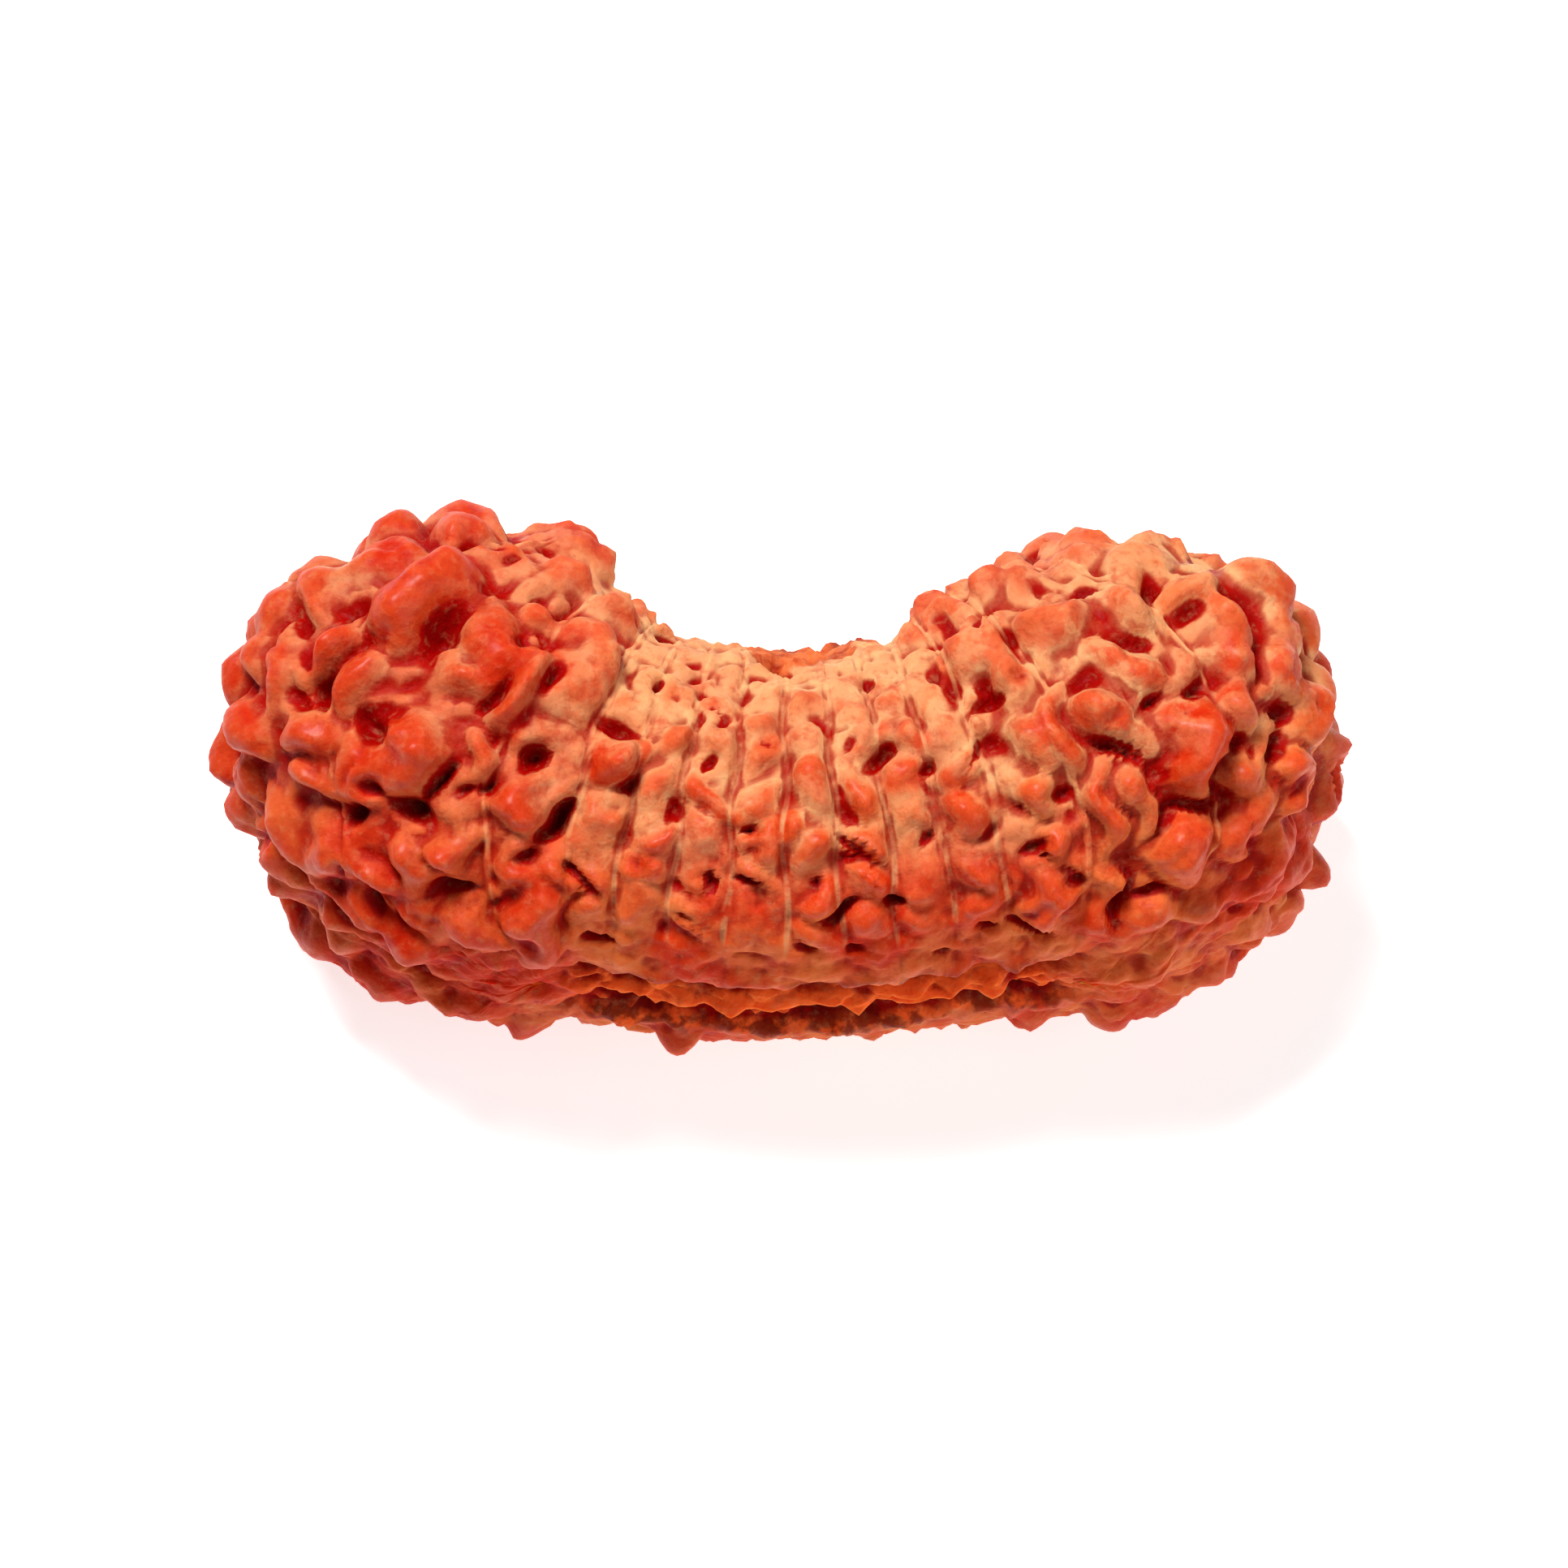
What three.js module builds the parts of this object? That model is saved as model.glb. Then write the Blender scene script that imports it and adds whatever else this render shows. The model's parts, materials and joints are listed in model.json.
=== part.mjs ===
// A many-faced rudraksha bead: the hard stone of the rudraksha fruit, grown in one piece.
// Its body is a thick crescent. Two round lobes are joined by a narrower waist, and fine suture
// lines run over it like the meridians of a stretched globe, from the furrow along its outer curve
// to the stem scar in its saddle. Knobs and pits cover the faces between the lines.
//
// The bead lies on its back: X runs from lobe to lobe, +Y from the furrow to the saddle, and +Z up.
// Its origin is on the surface it rests on, under the middle of the bead.

import * as THREE from 'three';

// Driving dimensions, in millimetres
const BEND_RADIUS = 22.2;          // of the crescent's centreline
const LEFT_LENGTH = 19.0;          // from the waist to the left tip, along the centreline
const RIGHT_LENGTH = 18.7;
const END_SQUARENESS = 4;          // power of the rounded outline seen from the furrow's side
const WAIST = { depth: 7.0, furrow: 6.6, saddle: 6.15 };       // radii from the centreline
const LEFT_LOBE = {
  depth: 8.4, furrow: 8.2, saddle: 8.4,
  furrowEnd: 6.6,                  // how far along it the sutures meet in the furrow
  saddleEnd: 8.4,                  // and in the saddle
};
const RIGHT_LOBE = { depth: 8.4, furrow: 8.1, saddle: 7.15, furrowEnd: 8.0, saddleEnd: 8.4 };
const LOBE_START = 4.5;            // where the waist begins to swell, along the centreline
const LOBE_FULL = 12.4;
const SADDLE_SWELLS_LATER = 1.3;
const DEPTH_START = 3.0;
const DEPTH_FULL = 11.0;
const END_SHARPNESS = 4;           // how suddenly the meeting line ends

// Widths of the faces along the equator, from the left tip over the front to the right tip
const FACE_WIDTHS = [
  3.6, 5.6, 5.6, 2.9,
  1.62, 1.66, 1.6, 1.62, 1.55, 1.55, 1.6, 1.75,
  2.7, 5.0, 5.8, 3.9,
];
const NARROW_FACE = 1.9;           // faces up to this width are the waist's ribs
const WIDE_FACE = 3.2;
const RIB_SWELL = {
  height: 0.5,
  saddleLoss: 0.6, saddleFrom: 5, saddleTo: 45,       // shares lost between two rises in degrees
  furrowLoss: 0.55, furrowFrom: 48, furrowTo: 66,
};
const FACE_SWELL = 0.25;
const LINE_GAP = 0.42;             // half the valley that a line runs in
const LINE_FLOOR = 0.6;            // share of the knobs' height that is left on a line
const LINE_WANDER = 0.13;

const KNOB = {
  cell: 2.5,                       // width that a row of knobs takes on a wide face
  step: 2.3,                       // their spacing along the row
  height: 1.2,
  length: 0.76,                    // half length as a share of the cell
  turn: 178,                       // degrees that their directions spread over
  fadeFrom: 58, fadeTo: 76, loss: 0.6,
};
const RIB_KNOB = {
  cell: 2.5, step: 1.45, height: 0.62, length: 0.75, turn: 69,
  fadeFrom: 46, fadeTo: 62, loss: 0.85,
  saddleFrom: 4, saddleTo: 30, saddleLoss: 0.75,
};
const KNOB_WIDTH = 0.63;           // half width as a share of the step
const KNOB_REACH = 70;             // degrees from the equator that knobs are sown to
const ROW_RADIUS = { waist: 6, lobe: 8, lobeFrom: 9 }; // added to a row's reach for its length
const TAKEN_REACH = 1.14;          // sown knobs keep this far off a named knob's middle, as a share
const BUMP_THICKNESS = 2.5;        // how far a bump reaches in and out
const KNOB_SOFTNESS = 1.45;        // power of the rounded profile
const LEVEL = 0.2;                 // that the valleys between the knobs are filled to
const PIT_SOFTNESS = 1.2;
const NAMED_SPREAD = 1.16;         // named knobs reach this much further than their visible edge
const NAMED_RISE = 1.08;           // and stand this much higher than measured
const WARP = 0.24;                 // how far the knobs' outlines are bent out of round

const FURROW = {
  half: 5.6, fade: 1.6, middle: 0.8,                   // its place along the pole line
  width: 1.75, scallop: 0.28, depth: 0.8,
  ribEndFrom: -0.35, ribEndTo: 0.05,                   // from its edge
  wallFrom: -0.55, wallTo: -0.1,
  fibre: 0.5, fibreFrom: 0.15, fibreTo: 0.75,
};
const SCAR = { half: 2.5, fade: 3.0, middle: 0.8, from: 1.0, to: 2.4, rise: 0.15 };
const POLE_QUIET = { loss: 0.7, reach: 0.6 };          // relief lost where the lines meet
const GIRTH = { share: 0.72, least: 6 };               // turns the rise near the poles into a length

const REST_HEIGHT = 8.85;          // from the flats it rests on to the centreline
const CENTRE = { x: 0.15, y: -2.35 };

// Fineness of the faceted solid
const COLUMN_WIDTH = 0.66;
const RIB_COLUMNS = 3;
const ROWS = 37;
const FINEST_BUMP = 0.85;          // the least half width that the facets can carry

// Named knobs and pits, measured in millimetres in the plane of a view from above and 24 degrees
// towards the furrow: across to the right, up, length, width, turn in degrees, height or depth.
const VIEW_TILT = 24;
const VIEW_UP_MIDDLE = 1.95;
const LEAST_FACING = 0.02;         // cosine at which the body has turned out of sight
const LEAST_STRETCH = 0.45;        // and the one down to which widths are stretched back
const BIG_KNOBS = [
  // Left lobe
  [-12.2, 5.9, 4.7, 3.5, 52, 1.7], [-15.7, 6.5, 2.7, 1.9, 0, 0.8], [-15.5, 4.5, 2.6, 1.6, 5, 1.2],
  [-16.0, 1.7, 2.8, 2.2, 0, 1.1], [-17.1, 3.5, 3.4, 1.3, 97, 0.9], [-14.5, 3.3, 3.4, 1.7, 70, 0.95],
  [-18.8, 3.5, 3.0, 1.9, 62, 1.3], [-18.2, 0.7, 2.8, 2.1, 20, 1.0], [-12.9, 1.2, 3.6, 2.7, -52, 1.5],
  [-9.2, 2.8, 3.9, 1.8, 76, 1.4], [-11.1, 3.3, 2.3, 1.7, 15, 0.9], [-9.3, -0.6, 2.2, 2.1, 0, 1.0],
  [-6.2, 0.8, 2.8, 2.1, 22, 1.2], [-11.3, -1.9, 2.1, 2.0, 20, 1.0], [-12.6, -2.7, 2.1, 2.5, 10, 0.9],
  [-16.6, -1.8, 3.4, 1.8, 10, 0.8], [-15.8, 0.1, 3.2, 1.5, 5, 0.85], [-13.9, -2.7, 3.3, 1.3, -66, 0.9],
  [-16.6, -5.0, 5.0, 1.8, -46, 0.95], [-13.0, -5.0, 3.5, 1.5, -36, 0.85],
  [-10.7, -4.7, 3.0, 2.3, -15, 0.95], [-8.9, -3.0, 2.4, 2.1, 0, 0.85],
  [-14.0, -6.5, 3.2, 1.5, -18, 0.75], [-11.2, -7.3, 3.8, 1.2, -14, 0.65],
  [-13.7, 9.1, 2.2, 1.4, 20, 1.1], [-11.0, 9.1, 3.8, 1.9, 0, 1.1], [-7.5, 7.7, 3.5, 2.7, -15, 1.1],
  [-16.3, 7.6, 2.5, 1.5, 30, 0.7], [-8.3, 5.2, 1.8, 1.8, 60, 0.9], [-9.9, 5.7, 2.0, 1.5, 80, 0.6],
  [-10.7, 1.0, 2.2, 1.1, 85, 0.7], [-7.5, -2.7, 3.0, 1.5, 80, 0.8],
  [-3.5, -9.1, 1.9, 1.3, 80, 0.9], [-17.9, -2.4, 2.6, 1.6, -60, 0.5], [-16.9, -4.6, 2.4, 1.4, -50, 0.5],
  [-14.0, -8.1, 2.8, 1.2, -30, 0.6], [-15.6, -6.6, 2.4, 1.3, -40, 0.5],
  // Right lobe
  [13.7, 1.5, 4.3, 2.9, 78, 1.6], [11.0, 2.2, 2.8, 1.9, -8, 1.2], [11.6, 3.9, 4.5, 1.7, -6, 1.0],
  [11.9, 5.8, 2.6, 2.1, 10, 1.1], [14.7, 4.2, 2.8, 1.7, -22, 1.0], [15.1, 2.5, 2.5, 1.7, 75, 1.1],
  [16.9, 3.7, 2.4, 2.2, 45, 0.9], [17.5, 5.3, 3.0, 1.9, -58, 0.8], [13.0, 7.9, 2.8, 1.9, 0, 0.8],
  [10.9, 8.2, 2.8, 1.4, -5, 0.9], [8.6, 6.2, 1.8, 1.6, 0, 0.8], [17.2, 0.3, 2.9, 1.9, -60, 1.25],
  [18.8, 1.0, 2.1, 1.9, 0, 1.1], [18.5, 3.4, 3.3, 1.3, -78, 0.8], [15.6, 0.2, 2.4, 2.0, 30, 0.9],
  [13.6, -2.2, 3.3, 2.6, -48, 1.3], [12.1, -0.2, 2.5, 1.7, -42, 0.85], [16.7, -2.5, 3.6, 2.3, -60, 0.9],
  [18.6, -3.0, 1.8, 1.7, -30, 1.5], [11.1, -0.7, 3.7, 1.2, -80, 0.85], [9.7, 1.7, 3.9, 1.3, -68, 1.0],
  [7.7, 3.5, 2.5, 1.8, -60, 1.0], [8.6, 1.8, 2.2, 1.8, 60, 0.85], [8.7, -0.2, 1.8, 1.7, 90, 0.85],
  [12.6, -4.3, 2.9, 1.9, -10, 0.95], [14.7, -6.5, 3.7, 1.5, 20, 0.85], [17.0, -5.2, 2.3, 1.4, 50, 0.8],
  [12.4, -6.1, 5.0, 1.4, 26, 0.75], [9.1, -3.8, 2.7, 1.9, 80, 1.0], [9.1, -1.8, 1.9, 1.8, 90, 0.85],
  [6.7, 6.3, 2.5, 1.9, 30, 0.7], [10.3, 6.7, 1.9, 1.4, 30, 0.5], [14.2, 8.4, 3.4, 1.4, -25, 0.9],
  [14.4, -8.2, 2.6, 1.3, 25, 0.7],
];
const PITS = [
  [-15.6, 3.2, 1.1, 1.1, 0, 1.5], [-13.9, 1.9, 2.6, 0.9, 41, 1.1], [-19.0, 1.8, 2.1, 1.0, 20, 1.2],
  [-12.8, -0.7, 1.9, 1.1, 0, 1.5], [-13.8, -0.2, 1.4, 0.7, -28, 1.0], [-11.7, 0.1, 1.4, 0.7, 58, 0.9],
  [-11.3, 4.7, 2.3, 1.0, 58, 1.3], [-9.0, 0.7, 1.1, 1.1, 0, 1.5], [-14.7, -0.9, 1.1, 0.9, 40, 0.8],
  [-15.0, -3.0, 1.5, 1.3, -40, 0.7], [-15.1, -4.3, 3.1, 1.0, -36, 1.1], [-12.7, -6.3, 3.4, 0.7, -14, 0.8],
  [-11.5, -3.5, 2.1, 0.7, 18, 0.9], [-8.8, -4.7, 1.4, 1.2, 20, 0.9], [-14.3, 5.7, 1.5, 1.1, 0, 0.6],
  [-12.8, 7.6, 1.0, 1.0, 0, 0.5], [-18.2, -1.0, 1.7, 0.7, 12, 0.8], [-8.2, -1.1, 1.4, 0.9, 30, 0.9],
  [-16.6, 5.2, 0.9, 0.7, 60, 0.6], [-10.1, 2.8, 1.0, 0.7, 50, 0.7],
  [11.3, 1.1, 1.7, 0.6, -20, 1.0], [14.7, 7.5, 1.5, 1.4, 0, 0.9], [15.4, 5.7, 1.9, 1.3, -35, 0.7],
  [13.0, -1.1, 1.3, 0.7, 35, 0.9], [18.1, -1.1, 1.5, 1.4, 60, 1.2], [15.8, -1.7, 1.1, 1.5, 0, 1.0],
  [11.4, -3.8, 2.6, 0.6, 88, 1.0], [12.3, -3.6, 1.6, 0.5, 0, 0.8], [15.8, -5.3, 2.1, 1.1, 20, 0.8],
  [14.0, -0.5, 1.4, 0.6, 10, 0.9], [15.0, 1.5, 1.1, 0.7, 10, 0.9], [16.6, 2.5, 1.4, 0.8, -20, 0.9],
  [10.0, -0.2, 1.0, 0.6, 0, 0.8], [8.3, -4.7, 1.3, 0.8, -20, 0.9], [12.1, 4.8, 1.4, 0.6, 15, 0.8],
  [13.7, 5.6, 1.3, 0.9, 20, 0.7], [7.4, 2.7, 1.7, 0.7, 40, 0.8], [17.1, 0.0, 1.0, 0.7, -60, 0.7],
  [12.6, 2.8, 1.3, 0.5, 55, 0.7], [5.8, 3.3, 2.6, 0.9, -60, 0.6], [11.0, -7.0, 2.6, 0.5, 24, 0.6],
];

const QUARTER = Math.PI / 2;
const radians = THREE.MathUtils.degToRad;

function smooth(low, high, value) {
  return THREE.MathUtils.smoothstep(value, low, high);
}

function mix(from, to, share) {
  return from + (to - from) * share;
}

// A number from 0 to 1 that depends only on the keys, so that every build is the same
function scatter(...keys) {
  const weights = [127.1, 311.7, 74.7, 53.3];
  const sum = keys.reduce((total, key, i) => total + key * weights[i], 0.5);
  const value = Math.sin(sum) * 43758.5453;
  return value - Math.floor(value);
}

// The front half of the equator as a table of lengths from the left tip
const EQUATOR = (() => {
  const steps = 3000;
  const power = 2 / END_SQUARENESS;
  const table = [];
  let length = 0;
  for (let i = 0; i <= steps; i++) {
    const turn = Math.PI * i / steps;
    const side = Math.cos(turn);
    const reach = side > 0 ? LEFT_LENGTH : RIGHT_LENGTH;
    const x = -reach * Math.sign(side) * Math.abs(side) ** power;
    const lobe = x < 0 ? LEFT_LOBE : RIGHT_LOBE;
    const depth = mix(WAIST.depth, lobe.depth, smooth(DEPTH_START, DEPTH_FULL, Math.abs(x)));
    const z = depth * Math.abs(Math.sin(turn)) ** power;
    if (i > 0) length += Math.hypot(x - table[i - 1].x, z - table[i - 1].z);
    table.push({ length, x, z });
  }
  return table;
})();
const HALF_ROUND = EQUATOR.at(-1).length;

// The equator's point at a length from the left tip, over the front and round the back
function equatorPoint(around) {
  const wrapped = THREE.MathUtils.euclideanModulo(around, 2 * HALF_ROUND);
  const back = wrapped > HALF_ROUND;
  const length = back ? 2 * HALF_ROUND - wrapped : wrapped;
  let low = 0;
  let high = EQUATOR.length - 1;
  while (high - low > 1) {
    const middle = (low + high) >> 1;
    if (EQUATOR[middle].length <= length) low = middle;
    else high = middle;
  }
  const a = EQUATOR[low];
  const b = EQUATOR[high];
  const share = (length - a.length) / (b.length - a.length);
  return { x: mix(a.x, b.x, share), z: mix(a.z, b.z, share) * (back ? -1 : 1) };
}

// Where the meridian through the equator at x meets the line in the furrow or in the saddle
function polePlace(x, onSaddle) {
  const lobe = x < 0 ? LEFT_LOBE : RIGHT_LOBE;
  const half = onSaddle ? lobe.saddleEnd : lobe.furrowEnd;
  return x / (1 + Math.abs(x / half) ** END_SHARPNESS) ** (1 / END_SHARPNESS);
}

// A point of the smooth body, with rise the angle from the equator: -90 degrees is the furrow's
// line and +90 the saddle's. A straight dumbbell is worked out first and then bent.
function bodyPoint(around, rise) {
  const equator = equatorPoint(around);
  const flat = Math.max(Math.cos(rise), 0);
  const height = Math.sin(rise);
  const saddle = height > 0;
  const x = mix(polePlace(equator.x, saddle), equator.x, flat);
  const lobe = x < 0 ? LEFT_LOBE : RIGHT_LOBE;
  const later = saddle ? SADDLE_SWELLS_LATER : 0;
  const swell = smooth(LOBE_START + later, LOBE_FULL + later, Math.abs(x));
  const side = saddle ? 'saddle' : 'furrow';
  const y = height * mix(WAIST[side], lobe[side], swell);
  const turn = x / BEND_RADIUS;
  const radius = BEND_RADIUS - y;
  const across = radius * Math.sin(turn);
  return new THREE.Vector3(across, BEND_RADIUS - radius * Math.cos(turn), equator.z * flat);
}

// The body's directions there: along the equator, towards the saddle, and out
function bodyFrame(around, rise) {
  const nudge = 1e-3;
  const safe = THREE.MathUtils.clamp(rise, -QUARTER + 2 * nudge, QUARTER - 2 * nudge);
  const along = bodyPoint(around + nudge, safe).sub(bodyPoint(around - nudge, safe)).normalize();
  const towards = bodyPoint(around, safe + nudge).sub(bodyPoint(around, safe - nudge));
  const out = new THREE.Vector3().crossVectors(along, towards).normalize();
  return { along, up: new THREE.Vector3().crossVectors(out, along), out };
}

// The suture lines, with those of the back behind those of the front
const LINES = (() => {
  const scale = HALF_ROUND / FACE_WIDTHS.reduce((a, b) => a + b);
  const front = [];
  let at = 0;
  for (const width of FACE_WIDTHS.slice(0, -1)) {
    at += width * scale;
    front.push(at);
  }
  return [...front, ...front.map((line) => 2 * HALF_ROUND - line).reverse()];
})();
const EDGES = [LINES.at(-1) - 2 * HALF_ROUND, ...LINES, LINES[0] + 2 * HALF_ROUND];

function makeBump(around, rise, direction, halfLength, halfWidth, height) {
  const { out } = bodyFrame(around, rise);
  const axis = direction.clone().addScaledVector(out, -direction.dot(out)).normalize();
  const cross = new THREE.Vector3().crossVectors(out, axis);
  return { centre: bodyPoint(around, rise), out, axis, cross, halfLength, halfWidth, height };
}

// Named bumps sit at the point of the body that is seen nearest to their place in the tilted view
const VIEW = (() => {
  const tilt = radians(VIEW_TILT);
  const up = new THREE.Vector3(0, Math.cos(tilt), Math.sin(tilt));
  const out = new THREE.Vector3(0, -Math.sin(tilt), Math.cos(tilt));
  const columns = 400;
  const rows = 160;
  const limit = radians(89);
  const seen = [];
  for (let i = 0; i < columns; i++) {
    for (let j = 0; j < rows; j++) {
      const around = 2 * HALF_ROUND * i / columns;
      const rise = mix(-limit, limit, j / (rows - 1));
      const facing = bodyFrame(around, rise).out.dot(out);
      if (facing < LEAST_FACING) continue;
      const point = bodyPoint(around, rise);
      seen.push({ around, rise, facing, across: point.x, up: point.dot(up) - VIEW_UP_MIDDLE });
    }
  }
  return { up, seen };
})();

function namedBump([across, up, length, width, turn, height]) {
  const distance = (spot) => (spot.across - across) ** 2 + (spot.up - up) ** 2;
  const spot = VIEW.seen.reduce((best, other) => (distance(other) < distance(best) ? other : best));
  const angle = radians(turn);
  const direction = VIEW.up.clone().multiplyScalar(Math.sin(angle));
  direction.x += Math.cos(angle);
  const trueWidth = width / Math.sqrt(Math.max(LEAST_STRETCH, spot.facing));
  const halfLength = Math.max(length / 2, FINEST_BUMP);
  const halfWidth = Math.max(trueWidth / 2, FINEST_BUMP);
  const share = Math.sqrt(length * trueWidth / halfLength / halfWidth) / 2;
  return makeBump(spot.around, spot.rise, direction, halfLength, halfWidth, height * share);
}

const bigKnobs = BIG_KNOBS.map(namedBump);
const pits = PITS.map(namedBump);

// Whether a point lies inside a named knob's ellipse, or just beyond it
function isTaken(point) {
  return bigKnobs.some((knob) => {
    const offset = point.clone().sub(knob.centre);
    const along = offset.dot(knob.axis);
    const aside = Math.sqrt(Math.max(0, offset.lengthSq() - along * along));
    return Math.hypot(along / knob.halfLength, aside / knob.halfWidth) < TAKEN_REACH;
  });
}

// A share lost between two angles in degrees
function faded(loss, from, to, angle) {
  return 1 - loss * smooth(radians(from), radians(to), angle);
}

// One knob of a row, scattered about its place, or nothing where a named knob is
function sowKnob(kind, cell, keys, middle, share) {
  const [a, b, c, d] = [1, 2, 3, 4].map((key) => scatter(...keys, key));
  const rise = radians(mix(-KNOB_REACH, KNOB_REACH, share(a)));
  const around = middle + mix(-0.125, 0.125, b) * cell;
  if (isTaken(bodyPoint(around, rise))) return [];
  const frame = bodyFrame(around, rise);
  const angle = radians(kind.turn) * (c - 0.5);
  const direction = frame.along.multiplyScalar(Math.cos(angle)).addScaledVector(frame.up, Math.sin(angle));
  const halfLength = cell * kind.length * (kind === RIB_KNOB ? mix(0.9, 1.2, d) : mix(0.8, 1.4, d));
  const halfWidth = kind.step * mix(KNOB_WIDTH, KNOB_WIDTH + 0.18, a);
  let height = kind.height * mix(0.6, 1.2, b);
  height *= faded(kind.loss, kind.fadeFrom, kind.fadeTo, Math.abs(rise));
  if (kind === RIB_KNOB) height *= faded(kind.saddleLoss, kind.saddleFrom, kind.saddleTo, rise);
  return [makeBump(around, rise, direction, halfLength, halfWidth, height)];
}

// Knobs sown in rows on every face: one row on a narrow rib and more on a wide face
function sowKnobs() {
  const sown = [];
  LINES.forEach((line, face) => {
    const width = EDGES[face + 2] - line;
    const rowsAcross = Math.max(1, Math.round(width / KNOB.cell));
    const cell = width / rowsAcross;
    const kind = cell < NARROW_FACE ? RIB_KNOB : KNOB;
    for (let row = 0; row < rowsAcross; row++) {
      const middle = line + cell * (row + 0.5);
      const equator = equatorPoint(middle);
      const reach = Math.hypot(equator.x - polePlace(equator.x, true), equator.z);
      const onLobe = Math.abs(equator.x) > ROW_RADIUS.lobeFrom;
      const radius = reach + (onLobe ? ROW_RADIUS.lobe : ROW_RADIUS.waist);
      const count = Math.round(radians(KNOB_REACH) * radius / kind.step);
      const stagger = 0.5 * (row % 2);
      for (let i = 0; i < count; i++) {
        const share = (a) => (i + mix(0.25, 0.75, a) + stagger) / count;
        sown.push(...sowKnob(kind, cell, [face, row, i], middle, share));
      }
    }
  });
  return sown;
}
const smallKnobs = sowKnobs();

// The height of many bumps at a point, blended so that neighbours run into each other
function bumpHeight(point, bumps, softness, blend) {
  let total = 0;
  for (const bump of bumps) {
    const offset = point.clone().sub(bump.centre);
    const r2 = (offset.dot(bump.axis) / bump.halfLength) ** 2
      + (offset.dot(bump.cross) / bump.halfWidth) ** 2
      + (offset.dot(bump.out) / BUMP_THICKNESS) ** 2;
    if (r2 < 1) total += (bump.height * (1 - r2) ** softness) ** blend;
  }
  return total ** (1 / blend);
}

function warped({ x, y, z }) {
  return new THREE.Vector3(
    x + WARP * Math.sin(1.9 * y + 2.3 * z + 0.4),
    y + WARP * Math.sin(2.1 * z + 1.7 * x + 1.9),
    z + WARP * Math.sin(1.8 * x + 2.2 * y + 3.1),
  );
}

const bigKnobReach = bigKnobs.map((knob) => ({
  ...knob,
  halfLength: knob.halfLength * NAMED_SPREAD,
  halfWidth: knob.halfWidth * NAMED_SPREAD,
}));

// The furrow, a trough with scalloped edges and a low fibrous ridge along its floor: it takes a
// point's height over to its own
function furrowed(height, pole, toFurrow, offMiddle) {
  const inFurrow = 1 - smooth(FURROW.half, FURROW.half + FURROW.fade, Math.abs(pole - FURROW.middle));
  const edge = FURROW.width + FURROW.scallop * (1 - offMiddle ** 2);
  const ribEnd = smooth(edge + FURROW.ribEndFrom, edge + FURROW.ribEndTo, toFurrow);
  const trough = FURROW.fibre * (1 - smooth(FURROW.fibreFrom, FURROW.fibreTo, toFurrow))
    - FURROW.depth * (1 - smooth(edge + FURROW.wallFrom, edge + FURROW.wallTo, toFurrow));
  const cut = height * (1 - inFurrow * (1 - ribEnd)) + trough * inFurrow;
  return cut * (1 - POLE_QUIET.loss * (1 - inFurrow) * (1 - smooth(0, POLE_QUIET.reach, toFurrow)));
}

// The stem scar, a smooth low patch in the saddle
function scarred(height, pole, toScar) {
  const inScar = 1 - smooth(SCAR.half, SCAR.half + SCAR.fade, Math.abs(pole - SCAR.middle));
  const patch = 1 - smooth(SCAR.from, SCAR.to, toScar);
  const smoothed = height * (1 - inScar * patch) + SCAR.rise * inScar * patch;
  return smoothed * (1 - POLE_QUIET.loss * (1 - inScar) * (1 - smooth(0, POLE_QUIET.reach, toScar)));
}

// How far the surface stands out from the smooth body
function relief(point, around, rise) {
  const flat = Math.max(Math.cos(rise), 0);
  const wander = LINE_WANDER * Math.sin(1.7 * point.y + 0.9 * point.x) * flat;
  const place = THREE.MathUtils.euclideanModulo(around + wander, 2 * HALF_ROUND);
  const right = EDGES.findIndex((edge) => edge > place);
  const width = EDGES[right] - EDGES[right - 1];
  const share = (place - EDGES[right - 1]) / width;
  const offMiddle = Math.abs(2 * share - 1);
  const fromLine = Math.min(share, 1 - share) * width * mix(0.35, 1, flat);
  const clear = smooth(0.05, LINE_GAP, fromLine);
  const narrow = 1 - smooth(NARROW_FACE, WIDE_FACE, width);

  const bent = warped(point);
  const sown = bumpHeight(bent, smallKnobs, KNOB_SOFTNESS, 4) * mix(LINE_FLOOR, 1, clear);
  const big = NAMED_RISE * bumpHeight(bent, bigKnobReach, KNOB_SOFTNESS, 4);
  const ribSwell = RIB_SWELL.height
    * faded(RIB_SWELL.saddleLoss, RIB_SWELL.saddleFrom, RIB_SWELL.saddleTo, rise)
    * faded(RIB_SWELL.furrowLoss, RIB_SWELL.furrowFrom, RIB_SWELL.furrowTo, -rise);
  const roundness = (1 - offMiddle ** 4) * Math.sqrt(flat) * mix(0.5, 1, clear);
  const swell = mix(FACE_SWELL, ribSwell, narrow) * roundness;
  const knobs = (sown ** 4 + big ** 4 + LEVEL ** 4) ** 0.25;
  const height = knobs + swell - bumpHeight(bent, pits, PIT_SOFTNESS, 3);

  const equator = equatorPoint(around);
  const girth = GIRTH.share * Math.hypot(equator.z, GIRTH.least);
  const cut = furrowed(height, polePlace(equator.x, false), (rise + QUARTER) * girth, offMiddle);
  return scarred(cut, polePlace(equator.x, true), (QUARTER - rise) * girth);
}

// The columns of the mesh: each face is split evenly, so that every line has a column on it
function columnPlaces() {
  const scale = HALF_ROUND / FACE_WIDTHS.reduce((a, b) => a + b);
  const front = [];
  let start = 0;
  for (const faceWidth of FACE_WIDTHS) {
    const width = faceWidth * scale;
    const count = width < NARROW_FACE ? RIB_COLUMNS : Math.round(width / COLUMN_WIDTH);
    for (let i = 0; i < count; i++) front.push(start + width * i / count);
    start += width;
  }
  const back = front.slice(1).map((place) => 2 * HALF_ROUND - place).reverse();
  return [...front, HALF_ROUND, ...back];
}

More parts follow.
